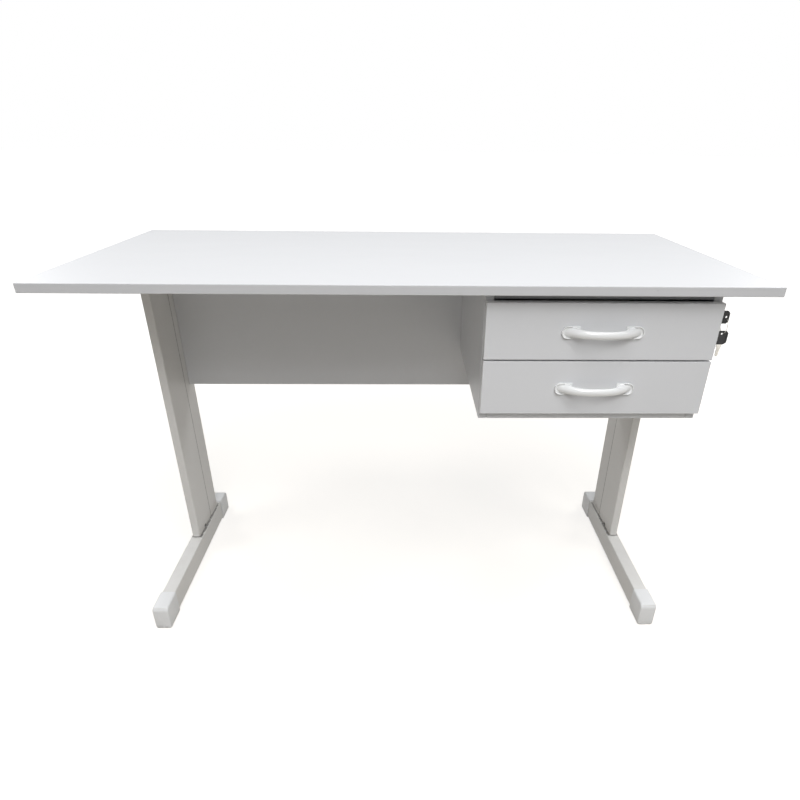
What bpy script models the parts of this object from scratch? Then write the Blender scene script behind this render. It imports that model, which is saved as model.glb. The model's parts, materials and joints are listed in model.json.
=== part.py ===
"""Writing desk: melamine worktop on two steel side frames, with a modesty panel and a hung
cabinet with two drawers and a side lock.

Metres, +Z up. The origin is on the floor under the middle of the worktop. +X runs along the
worktop to the right of the person who sits at it, on the -Y side.
"""

import math

import bmesh
import bpy
from mathutils import Vector

# Gaps between pieces that touch, slide or turn
SEAT_GAP = 0.0003
SLIDE_GAP = 0.0004

# Worktop
DESK_WIDTH = 1.200
DESK_DEPTH = 0.600
DESK_HEIGHT = 0.750
BOARD = 0.015
HARDBOARD = 0.003
EDGE_RADIUS = 0.0008

# Side frames: a foot tube, a rear post, a cable cover in front of it and a rail under the worktop
LEG_INSET = 0.060
TUBE_WALL = 0.0015
FOOT_WIDTH = 0.030
FOOT_HEIGHT = 0.050
FOOT_CORNER = 0.003
FOOT_FRONT_SETBACK = 0.053
FOOT_REAR_SETBACK = 0.0335
POST_THICKNESS = 0.016
POST_DEPTH = 0.075
POST_CORNER = 0.002
POST_REAR_SETBACK = 0.100
COVER_SHEET = 0.0012
COVER_DEPTH = 0.100
COVER_OVERLAP = 0.008
COVER_BEND = 0.003
COVER_FOOT_GAP = 0.0022
COVER_TOP_GAP = 0.015
OUTLET_WIDTH = 0.014
OUTLET_HEIGHT = 0.006
RAIL_HEIGHT = 0.020
RAIL_FRONT_SETBACK = 0.110
RAIL_REAR_SETBACK = 0.030
RAIL_SCREW_INSET = 0.045

# Foot caps
CAP_LENGTH = 0.058
CAP_WALL = 0.002
CAP_END_WALL = 0.003
CAP_SOLE = 0.003
CAP_CORNER = 0.004
CAP_NOSE = 0.010
CAP_EDGE = 0.0025

# Modesty panel and its angle brackets
PANEL_HEIGHT = 0.317
PANEL_REAR_INSET = 0.020
BRACKET_SHEET = 0.002
BRACKET_LEG = 0.019
BRACKET_HEIGHT = 0.025
BRACKET_EDGE_INSET = 0.045

# Cabinet
CABINET_WIDTH = 0.396
CABINET_HEIGHT = 0.227
CABINET_TO_POST = 0.0055
CABINET_FRONT_SETBACK = 0.047
CABINET_RAIL_DEPTH = 0.060

# Drawers
FRONT_STANDOFF = 0.002
FRONT_SIDE_REVEAL = 0.001
FRONT_TOP_RECESS = 0.017
FRONT_BOTTOM_REVEAL = 0.016
FRONT_GAP = 0.003
DRAWER_SIDE = 0.012
DRAWER_SIDE_LIFT = 0.010
DRAWER_TOP_DROP = 0.0135
DRAWER_REAR_ROOM = 0.037
GROOVE_DEPTH = 0.005
GROOVE_LIFT = 0.008
RUNNER_SPACE = 0.0125
RUNNER_HEIGHT = 0.027
RUNNER_SHEET = 0.0012
RUNNER_LIFT = 0.020
RUNNER_SETBACK = 0.043
RUNNER_REAR_ROOM = 0.0217
RUNNER_INNER_SHORTER = 0.010

# Handles
HANDLE_LENGTH = 0.139
HANDLE_PROJECTION = 0.028
HANDLE_BAR = 0.009
HANDLE_BAR_WIDTH = 0.0135
HANDLE_ROOT_WIDTH = 0.0165
HANDLE_HOLES = 0.096
PAD_LENGTH = 0.031
PAD_WIDTH = 0.021
PAD_THICKNESS = 0.003
PAD_RIM = 0.0035

# Screws
SCREW_RADIUS = 0.002
SCREW_HEAD_RADIUS = 0.004
SCREW_HEAD = 0.0024
SCREW_IN_TOP = 0.010
SCREW_IN_HANDLE = 0.007

# Lock in the cabinet's right side, its bar and its keys
LOCK_SETBACK = 0.031
LOCK_DROP = 0.051
LOCK_BARREL_RADIUS = 0.008
LOCK_FLANGE_RADIUS = 0.011
LOCK_FLANGE = 0.0025
PLUG_RADIUS = 0.005
PLUG_PROUD = 0.0005
DISC_RADIUS = 0.0095
DISC_THICKNESS = 0.0025
PIN_RADIUS = 0.002
PIN_THROW = 0.007
PIN_REST_ANGLE = math.radians(-45)
BAR_SHEET = 0.002
BAR_WIDTH = 0.012
BAR_TAIL = 0.0165
BAR_HEAD_HEIGHT = 0.016
BAR_TAB = 0.004
BAR_TAB_HEIGHT = 0.008
BAR_TAB_CLEARANCE = 0.002
BAR_PIN_PLAY = 0.0003
KEY_SHEET = 0.0018
KEY_WIDTH = 0.0065
KEY_SHOULDER_WIDTH = 0.009
KEY_SHOULDER = 0.0067
KEY_REACH = 0.022
KEY_HEAD = 0.006
KEY_HEAD_WIDTH = 0.006
BOW_LENGTH = 0.024
BOW_WIDTH = 0.022
BOW_THICKNESS = 0.0042
BOW_HOLE_RADIUS = 0.0022
BOW_HOLE_INSET = 0.005
RING_RADIUS = 0.013
RING_WIRE = 0.0006

# Worked out from the sizes above
TOP_UNDERSIDE = DESK_HEIGHT - BOARD
UNDER_TOP = TOP_UNDERSIDE - SEAT_GAP
LEG_X = DESK_WIDTH / 2 - LEG_INSET

FOOT_FRONT = -DESK_DEPTH / 2 + FOOT_FRONT_SETBACK
FOOT_REAR = DESK_DEPTH / 2 - FOOT_REAR_SETBACK
FOOT_BOTTOM = CAP_SOLE + SEAT_GAP
FOOT_TOP = FOOT_BOTTOM + FOOT_HEIGHT

POST_REAR = DESK_DEPTH / 2 - POST_REAR_SETBACK
POST_FRONT = POST_REAR - POST_DEPTH
POST_INNER_X = LEG_X - POST_THICKNESS / 2
RAIL_BOTTOM = UNDER_TOP - RAIL_HEIGHT
RAIL_FRONT = -DESK_DEPTH / 2 + RAIL_FRONT_SETBACK
RAIL_REAR = DESK_DEPTH / 2 - RAIL_REAR_SETBACK

COVER_WIDTH = POST_THICKNESS + 2 * (SEAT_GAP + COVER_SHEET)
COVER_REAR = POST_FRONT + COVER_OVERLAP
COVER_FRONT = COVER_REAR - COVER_DEPTH
COVER_BOTTOM = FOOT_TOP + COVER_FOOT_GAP
COVER_TOP = RAIL_BOTTOM - COVER_TOP_GAP

PANEL_BACK = POST_REAR - PANEL_REAR_INSET
PANEL_FRONT = PANEL_BACK - BOARD
PANEL_BOTTOM = TOP_UNDERSIDE - PANEL_HEIGHT

CABINET_RIGHT = POST_INNER_X - CABINET_TO_POST
CABINET_LEFT = CABINET_RIGHT - CABINET_WIDTH
CABINET_MIDDLE = (CABINET_LEFT + CABINET_RIGHT) / 2
CABINET_IN_LEFT = CABINET_LEFT + BOARD
CABINET_IN_RIGHT = CABINET_RIGHT - BOARD
CABINET_FRONT = -DESK_DEPTH / 2 + CABINET_FRONT_SETBACK
CABINET_REAR = PANEL_FRONT - SEAT_GAP
CABINET_BOTTOM = TOP_UNDERSIDE - CABINET_HEIGHT
CABINET_BACK_FACE = CABINET_REAR - HARDBOARD

FRONT_BACK_FACE = CABINET_FRONT - FRONT_STANDOFF
FRONT_FACE = FRONT_BACK_FACE - BOARD
FRONTS_TOP = TOP_UNDERSIDE - FRONT_TOP_RECESS
FRONTS_BOTTOM = CABINET_BOTTOM + FRONT_BOTTOM_REVEAL
FRONT_HEIGHT = (FRONTS_TOP - FRONTS_BOTTOM - FRONT_GAP) / 2
DRAWERS = {
    "lower_drawer": FRONTS_BOTTOM,
    "upper_drawer": FRONTS_BOTTOM + FRONT_HEIGHT + FRONT_GAP,
}
DRAWER_OUT_LEFT = CABINET_IN_LEFT + RUNNER_SPACE
DRAWER_OUT_RIGHT = CABINET_IN_RIGHT - RUNNER_SPACE
DRAWER_REAR = CABINET_REAR - DRAWER_REAR_ROOM
RUNNER_FRONT = CABINET_FRONT + RUNNER_SETBACK
RUNNER_REAR = CABINET_REAR - RUNNER_REAR_ROOM
RUNNER_DEPTH = RUNNER_SPACE - 0.003

LOCK_Y = CABINET_FRONT + LOCK_SETBACK
LOCK_Z = TOP_UNDERSIDE - LOCK_DROP
DISC_INNER_X = CABINET_IN_RIGHT + SEAT_GAP
DISC_OUTER_X = DISC_INNER_X + DISC_THICKNESS
BARREL_INNER_X = DISC_OUTER_X + SEAT_GAP
FLANGE_INNER_X = CABINET_RIGHT + SEAT_GAP
FLANGE_OUTER_X = FLANGE_INNER_X + LOCK_FLANGE
PLUG_FACE_X = FLANGE_OUTER_X + PLUG_PROUD
BAR_OUTER_X = CABINET_IN_RIGHT - SEAT_GAP
BAR_INNER_X = BAR_OUTER_X - BAR_SHEET
BOW_START_X = PLUG_FACE_X + KEY_SHOULDER
RING_HOLE_X = BOW_START_X + BOW_LENGTH - BOW_HOLE_INSET
WIRE_DROP = BOW_HOLE_RADIUS - RING_WIRE - SEAT_GAP
RING_TOP_Z = LOCK_Z - WIRE_DROP
SPARE_HOLE_Z = RING_TOP_Z - 2 * RING_RADIUS - WIRE_DROP

# name: (red, green, blue), roughness, metallic
FINISHES = {
    "melamine": ((0.62, 0.63, 0.64), 0.45, 0.0),
    "graphite_board": ((0.06, 0.063, 0.07), 0.5, 0.0),
    "hardboard": ((0.55, 0.52, 0.47), 0.6, 0.0),
    "painted_steel": ((0.42, 0.43, 0.43), 0.4, 0.0),
    "zinc_steel": ((0.55, 0.55, 0.55), 0.35, 1.0),
    "cap_plastic": ((0.60, 0.62, 0.64), 0.5, 0.0),
    "handle_plastic": ((0.85, 0.85, 0.85), 0.2, 0.0),
    "lock_chrome": ((0.75, 0.75, 0.75), 0.15, 1.0),
    "key_steel": ((0.65, 0.64, 0.60), 0.3, 1.0),
    "key_plastic": ((0.02, 0.02, 0.02), 0.4, 0.0),
}


# ---------------------------------------------------------------- helpers


def clear_scene():
    for obj in list(bpy.data.objects):
        bpy.data.objects.remove(obj, do_unlink=True)


def finish_named(name):
    """The material of this name, made from FINISHES the first time."""
    if name not in bpy.data.materials:
        colour, roughness, metallic = FINISHES[name]
        material = bpy.data.materials.new(name)
        material.use_nodes = True
        shader = material.node_tree.nodes["Principled BSDF"]
        shader.inputs["Base Color"].default_value = (*colour, 1)
        shader.inputs["Roughness"].default_value = roughness
        shader.inputs["Metallic"].default_value = metallic
        material.diffuse_color = (*colour, 1)
    return bpy.data.materials[name]


def body_empty(name, location):
    """The parent of the pieces that move together, on their joint's axis."""
    empty = bpy.data.objects.new(name, None)
    empty.location = location
    bpy.context.scene.collection.objects.link(empty)
    return empty


def add_solid(name, bm, finish, parent=None, smooth=False):
    """Makes the object, with its origin at the middle of its own box."""
    bmesh.ops.recalc_face_normals(bm, faces=bm.faces)
    corners = [[vert.co[axis] for vert in bm.verts] for axis in range(3)]
    middle = Vector([(min(values) + max(values)) / 2 for values in corners])
    bmesh.ops.translate(bm, verts=bm.verts, vec=-middle)
    mesh = bpy.data.meshes.new(name)
    bm.to_mesh(mesh)
    bm.free()
    if smooth:
        mesh.shade_smooth()
        mesh.set_sharp_from_angle(angle=math.radians(35))
    mesh.materials.append(finish_named(finish))
    obj = bpy.data.objects.new(name, mesh)
    obj.location = middle - parent.location if parent else middle
    obj.parent = parent
    bpy.context.scene.collection.objects.link(obj)
    return obj


def bevel(obj, width, segments=2):
    modifier = obj.modifiers.new("bevel", "BEVEL")
    modifier.width = width
    modifier.segments = segments
    modifier.limit_method = "ANGLE"
    modifier.angle_limit = math.radians(40)
    return obj


def combine(target, helper, operation="DIFFERENCE"):
    """Cuts the helper from the target, or joins it on, and hides the helper."""
    helper.hide_render = True
    helper.display_type = "WIRE"
    modifier = target.modifiers.new(helper.name, "BOOLEAN")
    modifier.operation = operation
    modifier.object = helper
    return target


def on_axis(axis, u, v, along):
    """The point at (u, v) across an axis and at a distance along it."""
    return Vector({"X": (along, u, v), "Y": (u, along, v), "Z": (u, v, along)}[axis])


def loft(name, rings, finish, parent=None, hollow=False, smooth=False):
    """A skin over rings of as many points each. A hollow one joins its last ring to its first."""
    bm = bmesh.new()
    loops = [[bm.verts.new(point) for point in ring] for ring in rings]
    pairs = list(zip(loops, loops[1:] + (loops[:1] if hollow else [])))
    for low, high in pairs:
        for index in range(len(low)):
            after = (index + 1) % len(low)
            bm.faces.new((low[index], low[after], high[after], high[index]))
    if not hollow:
        bm.faces.new(loops[0])
        bm.faces.new(loops[-1])
    return add_solid(name, bm, finish, parent, smooth)


def box(name, low, high, finish, parent=None):
    bm = bmesh.new()
    bmesh.ops.create_cube(bm, size=1.0)
    low, high = Vector(low), Vector(high)
    bmesh.ops.scale(bm, vec=high - low, verts=bm.verts)
    bmesh.ops.translate(bm, vec=(low + high) / 2, verts=bm.verts)
    return add_solid(name, bm, finish, parent)


def board(name, low, high, finish="melamine", parent=None):
    """A flat board with slightly eased edges."""
    return bevel(box(name, low, high, finish, parent), EDGE_RADIUS)


def prism(name, outline, axis, start, end, finish, parent=None):
    rings = [[on_axis(axis, u, v, along) for u, v in outline] for along in (start, end)]
    return loft(name, rings, finish, parent)


def rounded_rectangle(width, height, radius, middle=(0, 0), steps=3):
    points = []
    for turn, (side_u, side_v) in enumerate(((1, 1), (-1, 1), (-1, -1), (1, -1))):
        for step in range(steps + 1):
            angle = math.pi / 2 * (turn + step / steps)
            u = middle[0] + side_u * (width / 2 - radius) + radius * math.cos(angle)
            v = middle[1] + side_v * (height / 2 - radius) + radius * math.sin(angle)
            points.append((u, v))
    return points


def tube(name, width, height, corner, middle, axis, start, end, finish="painted_steel"):
    """A rectangular steel tube, open at both ends."""
    outer = rounded_rectangle(width, height, corner, middle)
    inner = rounded_rectangle(
        width - 2 * TUBE_WALL, height - 2 * TUBE_WALL, corner - TUBE_WALL / 2, middle
    )
    sections = ((outer, start), (outer, end), (inner, end), (inner, start))
    rings = [[on_axis(axis, u, v, along) for u, v in outline] for outline, along in sections]
    return loft(name, rings, finish, hollow=True, smooth=True)


def circle(axis, middle, radius, along, sides):
    """A ring of points round an axis that runs through (u, v) = middle."""
    points = []
    for side in range(sides):
        angle = 2 * math.pi * side / sides
        u = middle[0] + radius * math.cos(angle)
        v = middle[1] + radius * math.sin(angle)
        points.append(on_axis(axis, u, v, along))
    return points


def turned(name, profile, axis, middle, finish, parent=None, hollow=False, sides=24):
    """A turned piece. Its profile is a list of (place along the axis, radius)."""
    rings = [circle(axis, middle, radius, along, sides) for along, radius in profile]
    return loft(name, rings, finish, parent, hollow, smooth=True)


def drill(target, name, axis, middle, radius, start, end, parent=None, sides=16):
    profile = ((start, radius), (end, radius))
    return combine(target, turned(name, profile, axis, middle, "zinc_steel", parent, sides=sides))


def mirrored(outline, side):
    """The outline turned left to right when side is -1."""
    return [(side * u, v) for u, v in outline]


# ---------------------------------------------------------------- screws


def cross_outline(middle, arm, width):
    """The cross recess of a screw head."""
    half = width / 2
    quarter = ((arm, half), (half, half), (half, arm))
    points = []
    for turn in range(4):
        c, s = ((1, 0), (0, 1), (-1, 0), (0, -1))[turn]
        for u, v in quarter:
            points.append((middle[0] + c * u - s * v, middle[1] + s * u + c * v))
    return points


def screw(name, axis, middle, seat, direction, reach, finish="zinc_steel", parent=None):
    """A pan-head screw whose head sits on the plane at seat. direction is the way it points."""
    head_under = seat - direction * SEAT_GAP
    head_top = head_under - direction * SCREW_HEAD
    tip = seat + direction * reach
    profile = (
        (head_top, 0.75 * SCREW_HEAD_RADIUS),
        (head_top + direction * 0.3 * SCREW_HEAD, SCREW_HEAD_RADIUS),
        (head_under, SCREW_HEAD_RADIUS),
        (head_under, SCREW_RADIUS),
        (tip - direction * SCREW_RADIUS, SCREW_RADIUS),
        (tip, 0.4 * SCREW_RADIUS),
    )
    obj = turned(name, profile, axis, middle, finish, parent, sides=16)
    recess = prism(
        "recess_" + name,
        cross_outline(middle, 0.55 * SCREW_HEAD_RADIUS, 0.25 * SCREW_HEAD_RADIUS),
        axis,
        head_top - direction * SCREW_HEAD,
        head_top + direction * 0.6 * SCREW_HEAD,
        finish,
        parent,
    )
    return combine(obj, recess)


# ---------------------------------------------------------------- side frames


def foot_cap(name, x, end_y, outward):
    """A plastic sleeve over the end of a foot tube. outward is -1 at the front and 1 behind."""
    width = FOOT_WIDTH + 2 * (SEAT_GAP + CAP_WALL)
    top = FOOT_TOP + SEAT_GAP + CAP_WALL
    nose_steps = 6
    places = [0.0, CAP_LENGTH - CAP_NOSE]
    for step in range(1, nose_steps + 1):
        places.append(CAP_LENGTH - CAP_NOSE * (1 - math.sin(math.pi / 2 * step / nose_steps)))
    rings = []
    for place in places:
        nose = max(0.0, place - (CAP_LENGTH - CAP_NOSE)) / CAP_NOSE
        drop = CAP_NOSE * (1 - math.sqrt(max(0.0, 1 - nose**2)))
        edge = max(0.0, place - (CAP_LENGTH - CAP_EDGE)) / CAP_EDGE
        inset = CAP_EDGE * (1 - math.sqrt(max(0.0, 1 - edge**2)))
        outline = rounded_rectangle(
            width - 2 * inset, top - drop, CAP_CORNER, (x, (top - drop) / 2), steps=4
        )
        y = end_y - outward * (CAP_LENGTH - place)
        rings.append([on_axis("Y", u, v, y) for u, v in outline])
    obj = loft(name, rings, "cap_plastic", smooth=True)
    socket = prism(
        "socket_" + name,
        rounded_rectangle(
            FOOT_WIDTH + 2 * SEAT_GAP,
            FOOT_HEIGHT + 2 * SEAT_GAP,
            FOOT_CORNER + SEAT_GAP,
            (x, FOOT_BOTTOM + FOOT_HEIGHT / 2),
        ),
        "Y",
        end_y - outward * (CAP_LENGTH + CAP_WALL),
        end_y - outward * CAP_END_WALL,
        "cap_plastic",
    )
    return combine(obj, socket)


def cover_outline(x):
    """The U section of a cable cover in plan, closed at the front and open to the post."""
    half = COVER_WIDTH / 2
    bends = ((half, COVER_BEND, -1), (half - COVER_SHEET, COVER_BEND - COVER_SHEET, 1))
    points = []
    for reach, radius, order in bends:
        front = COVER_FRONT + (half - reach)
        run = [(x - reach, COVER_REAR)]
        for side in (-1, 1):
            for step in range(4):
                angle = math.pi / 2 * step / 3
                along, across = math.sin(angle), math.cos(angle)
                if side > 0:
                    along, across = across, along
                u = x + side * (reach - radius) + side * radius * across
                run.append((u, front + radius - radius * along))
        run.append((x + reach, COVER_REAR))
        points += run if order < 0 else run[::-1]
    return points


def side_frame(side_name, side):
    x = side * LEG_X
    foot_middle = FOOT_BOTTOM + FOOT_HEIGHT / 2
    tube(
        side_name + "_foot_tube",
        FOOT_WIDTH,
        FOOT_HEIGHT,
        FOOT_CORNER,
        (x, foot_middle),
        "Y",
        FOOT_FRONT + CAP_END_WALL + SEAT_GAP,
        FOOT_REAR - CAP_END_WALL - SEAT_GAP,
    )
    foot_cap(side_name + "_front_foot_cap", x, FOOT_FRONT, -1)
    foot_cap(side_name + "_rear_foot_cap", x, FOOT_REAR, 1)
    tube(
        side_name + "_post",
        POST_THICKNESS,
        POST_DEPTH,
        POST_CORNER,
        (x, (POST_FRONT + POST_REAR) / 2),
        "Z",
        FOOT_TOP + SEAT_GAP,
        RAIL_BOTTOM - SEAT_GAP,
    )
    cover = prism(
        side_name + "_cable_cover",
        cover_outline(x),
        "Z",
        COVER_BOTTOM,
        COVER_TOP,
        "painted_steel",
    )
    inner_face = x - side * COVER_WIDTH / 2
    outlet_y = (COVER_FRONT + COVER_REAR) / 2
    outlet = box(
        "outlet_" + side_name,
        (inner_face - COVER_WIDTH / 4, outlet_y - OUTLET_WIDTH / 2, COVER_BOTTOM - OUTLET_HEIGHT),
        (inner_face + COVER_WIDTH / 4, outlet_y + OUTLET_WIDTH / 2, COVER_BOTTOM + OUTLET_HEIGHT),
        "painted_steel",
    )
    combine(cover, outlet)
    rail = tube(
        side_name + "_top_rail",
        POST_THICKNESS,
        RAIL_HEIGHT,
        POST_CORNER,
        (x, RAIL_BOTTOM + RAIL_HEIGHT / 2),
        "Y",
        RAIL_FRONT,
        RAIL_REAR,
    )
    for place, y in rail_screw_places():
        name = f"{side_name}_{place}_top_screw"
        screw(name, "Z", (x, y), RAIL_BOTTOM, 1, RAIL_HEIGHT + SEAT_GAP + SCREW_IN_TOP)
        drill(
            rail,
            "hole_" + name,
            "Z",
            (x, y),
            SCREW_RADIUS + SEAT_GAP,
            RAIL_BOTTOM - RAIL_HEIGHT,
            DESK_HEIGHT,
        )


def rail_screw_places():
    return (("front", RAIL_FRONT + RAIL_SCREW_INSET), ("rear", RAIL_REAR - RAIL_SCREW_INSET))


# ---------------------------------------------------------------- worktop and panel


def worktop():
    top = board(
        "tabletop",
        (-DESK_WIDTH / 2, -DESK_DEPTH / 2, TOP_UNDERSIDE),
        (DESK_WIDTH / 2, DESK_DEPTH / 2, DESK_HEIGHT),
    )
    for side in (-1, 1):
        for place, y in rail_screw_places():
            drill(
                top,
                f"pilot_{place}_{'left' if side < 0 else 'right'}",
                "Z",
                (side * LEG_X, y),
                SCREW_RADIUS + SEAT_GAP,
                TOP_UNDERSIDE - BOARD,
                TOP_UNDERSIDE + SCREW_IN_TOP + SEAT_GAP,
            )


def modesty_panel():
    reach = POST_INNER_X - SEAT_GAP
    board("modesty_panel", (-reach, PANEL_FRONT, PANEL_BOTTOM), (reach, PANEL_BACK, UNDER_TOP))
    leg_face = PANEL_BACK + SEAT_GAP
    outline = (
        (reach, leg_face),
        (reach, leg_face + BRACKET_LEG),
        (reach - BRACKET_SHEET, leg_face + BRACKET_LEG),
        (reach - BRACKET_SHEET, leg_face + BRACKET_SHEET),
        (reach - BRACKET_LEG, leg_face + BRACKET_SHEET),
        (reach - BRACKET_LEG, leg_face),
    )
    rows = (
        ("upper", RAIL_BOTTOM - BRACKET_EDGE_INSET - BRACKET_HEIGHT),
        ("lower", PANEL_BOTTOM + BRACKET_EDGE_INSET),
    )
    for side_name, side in (("left", -1), ("right", 1)):
        for row, bottom in rows:
            prism(
                f"{side_name}_{row}_panel_bracket",
                mirrored(outline, side),
                "Z",
                bottom,
                bottom + BRACKET_HEIGHT,
                "zinc_steel",
            )


# ---------------------------------------------------------------- cabinet


def cabinet():
    for side_name, low, high in (
        ("left", CABINET_LEFT, CABINET_IN_LEFT),
        ("right", CABINET_IN_RIGHT, CABINET_RIGHT),
    ):
        panel = board(
            f"cabinet_{side_name}_side",
            (low, CABINET_FRONT, CABINET_BOTTOM),
            (high, CABINET_REAR, UNDER_TOP),
        )
    lock_middle = (LOCK_Y, LOCK_Z)
    beyond = CABINET_RIGHT + BOARD
    bore = LOCK_BARREL_RADIUS + SEAT_GAP
    drill(panel, "lock_bore", "X", lock_middle, bore, CABINET_LEFT, beyond, sides=32)
    drill(
        panel,
        "disc_recess",
        "X",
        lock_middle,
        DISC_RADIUS + 2 * SLIDE_GAP,
        CABINET_IN_RIGHT - BOARD,
        BARREL_INNER_X,
        sides=32,
    )
    left, right = CABINET_IN_LEFT + SEAT_GAP, CABINET_IN_RIGHT - SEAT_GAP
    back_of_boards = CABINET_BACK_FACE - SEAT_GAP
    board(
        "cabinet_bottom",
        (left, CABINET_FRONT, CABINET_BOTTOM),
        (right, back_of_boards, CABINET_BOTTOM + BOARD),
    )
    rail_low = UNDER_TOP - BOARD
    board(
        "cabinet_front_rail",
        (left, CABINET_FRONT, rail_low),
        (right, CABINET_FRONT + CABINET_RAIL_DEPTH, UNDER_TOP),
        "graphite_board",
    )
    board(
        "cabinet_rear_rail",
        (left, back_of_boards - CABINET_RAIL_DEPTH, rail_low),
        (right, back_of_boards, UNDER_TOP),
    )
    box(
        "cabinet_back",
        (left, CABINET_BACK_FACE, CABINET_BOTTOM),
        (right, CABINET_REAR, UNDER_TOP),
        "hardboard",
    )


# ---------------------------------------------------------------- drawers


def channel_outline(web_x, toward, depth, middle_z, height):
    """A C section whose web starts at web_x and whose lips reach toward -X or +X."""
    low, high = middle_z - height / 2, middle_z + height / 2
    tip = web_x + toward * depth
    web_in = web_x + toward * RUNNER_SHEET
    return (
        (web_x, low),
        (tip, low),
        (tip, low + RUNNER_SHEET),
        (web_in, low + RUNNER_SHEET),
        (web_in, high - RUNNER_SHEET),
        (tip, high - RUNNER_SHEET),
        (tip, high),
        (web_x, high),
    )


def runner_middle(front_bottom):
    return front_bottom + DRAWER_SIDE_LIFT + RUNNER_LIFT


def runners(drawer_name, middle_z, body):
    """The fixed outer channels and the inner channels on the drawer."""
    inner_height = RUNNER_HEIGHT - 2 * (RUNNER_SHEET + SLIDE_GAP)
    inner_depth = RUNNER_DEPTH - RUNNER_SHEET + SEAT_GAP
    for side_name, wall, drawer_face, toward in (
        ("left", CABINET_IN_LEFT, DRAWER_OUT_LEFT, 1),
        ("right", CABINET_IN_RIGHT, DRAWER_OUT_RIGHT, -1),
    ):
        prism(
            f"{drawer_name}_{side_name}_outer_runner",
            channel_outline(
                wall + toward * SEAT_GAP, toward, RUNNER_DEPTH, middle_z, RUNNER_HEIGHT
            ),
            "Y",
            RUNNER_FRONT,
            RUNNER_REAR,
            "zinc_steel",
        )
        prism(
            f"{drawer_name}_{side_name}_inner_runner",
            channel_outline(
                drawer_face - toward * SEAT_GAP, -toward, inner_depth, middle_z, inner_height
            ),
            "Y",
            RUNNER_FRONT,
            RUNNER_REAR - RUNNER_INNER_SHORTER,
            "zinc_steel",
            body,
        )


def grooved_side(name, inner_x, outward, bottom, top, body):
    """A drawer side with a groove for the bottom panel in its inner face."""
    outer_x = inner_x + outward * DRAWER_SIDE
    groove_x = inner_x + outward * GROOVE_DEPTH
    groove_low = bottom + GROOVE_LIFT
    groove_high = groove_low + HARDBOARD + 2 * SEAT_GAP
    outline = (
        (outer_x, bottom),
        (inner_x, bottom),
        (inner_x, groove_low),
        (groove_x, groove_low),
        (groove_x, groove_high),
        (inner_x, groove_high),
        (inner_x, top),
        (outer_x, top),
    )
    obj = prism(name, outline, "Y", FRONT_BACK_FACE + SEAT_GAP, DRAWER_REAR, "melamine", body)
    return bevel(obj, EDGE_RADIUS / 2, segments=1)


def drawer(name, front_bottom):
    front_top = front_bottom + FRONT_HEIGHT
    middle_z = (front_bottom + front_top) / 2
    body = body_empty(name + "_body", (CABINET_MIDDLE, FRONT_FACE, middle_z))
    front = board(
        name + "_front",
        (CABINET_LEFT + FRONT_SIDE_REVEAL, FRONT_FACE, front_bottom),
        (CABINET_RIGHT - FRONT_SIDE_REVEAL, FRONT_BACK_FACE, front_top),
        parent=body,
    )
    bottom = front_bottom + DRAWER_SIDE_LIFT
    top = front_top - DRAWER_TOP_DROP
    in_left = DRAWER_OUT_LEFT + DRAWER_SIDE
    in_right = DRAWER_OUT_RIGHT - DRAWER_SIDE
    grooved_side(name + "_left_side", in_left, -1, bottom, top, body)
    grooved_side(name + "_right_side", in_right, 1, bottom, top, body)

    panel_low = bottom + GROOVE_LIFT + SEAT_GAP
    panel_high = panel_low + HARDBOARD
    tongue = GROOVE_DEPTH - SEAT_GAP
    panel_front = FRONT_BACK_FACE - tongue
    box(
        name + "_bottom",
        (in_left - tongue, panel_front, panel_low),
        (in_right + tongue, DRAWER_REAR, panel_high),
        "hardboard",
        body,
    )
    front_groove = box(
        "groove_" + name,
        (in_left - GROOVE_DEPTH, FRONT_BACK_FACE - GROOVE_DEPTH, panel_low - SEAT_GAP),
        (in_right + GROOVE_DEPTH, FRONT_BACK_FACE + GROOVE_DEPTH, panel_high + SEAT_GAP),
        "melamine",
        body,
    )
    combine(front, front_groove)
    board(
        name + "_back",
        (in_left + SEAT_GAP, DRAWER_REAR - DRAWER_SIDE, panel_high + SEAT_GAP),
        (in_right - SEAT_GAP, DRAWER_REAR, top),
        parent=body,
    )
    runners(name, runner_middle(front_bottom), body)
    handle(name, front, middle_z, body)


# ---------------------------------------------------------------- handles


def pad_outline(side, middle_z):
    """A handle's foot in elevation: a rectangle with a half-round outer end."""
    radius = PAD_WIDTH / 2
    inner = CABINET_MIDDLE + side * (HANDLE_LENGTH / 2 - PAD_LENGTH)
    centre = CABINET_MIDDLE + side * (HANDLE_LENGTH / 2 - radius)
    points = [(inner, middle_z - radius)]
    steps = 12
    for step in range(steps + 1):
        angle = -math.pi / 2 + math.pi * step / steps
        points.append((centre + side * radius * math.cos(angle), middle_z + radius * math.sin(angle)))
    points.append((inner, middle_z + radius))
    return points


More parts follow.
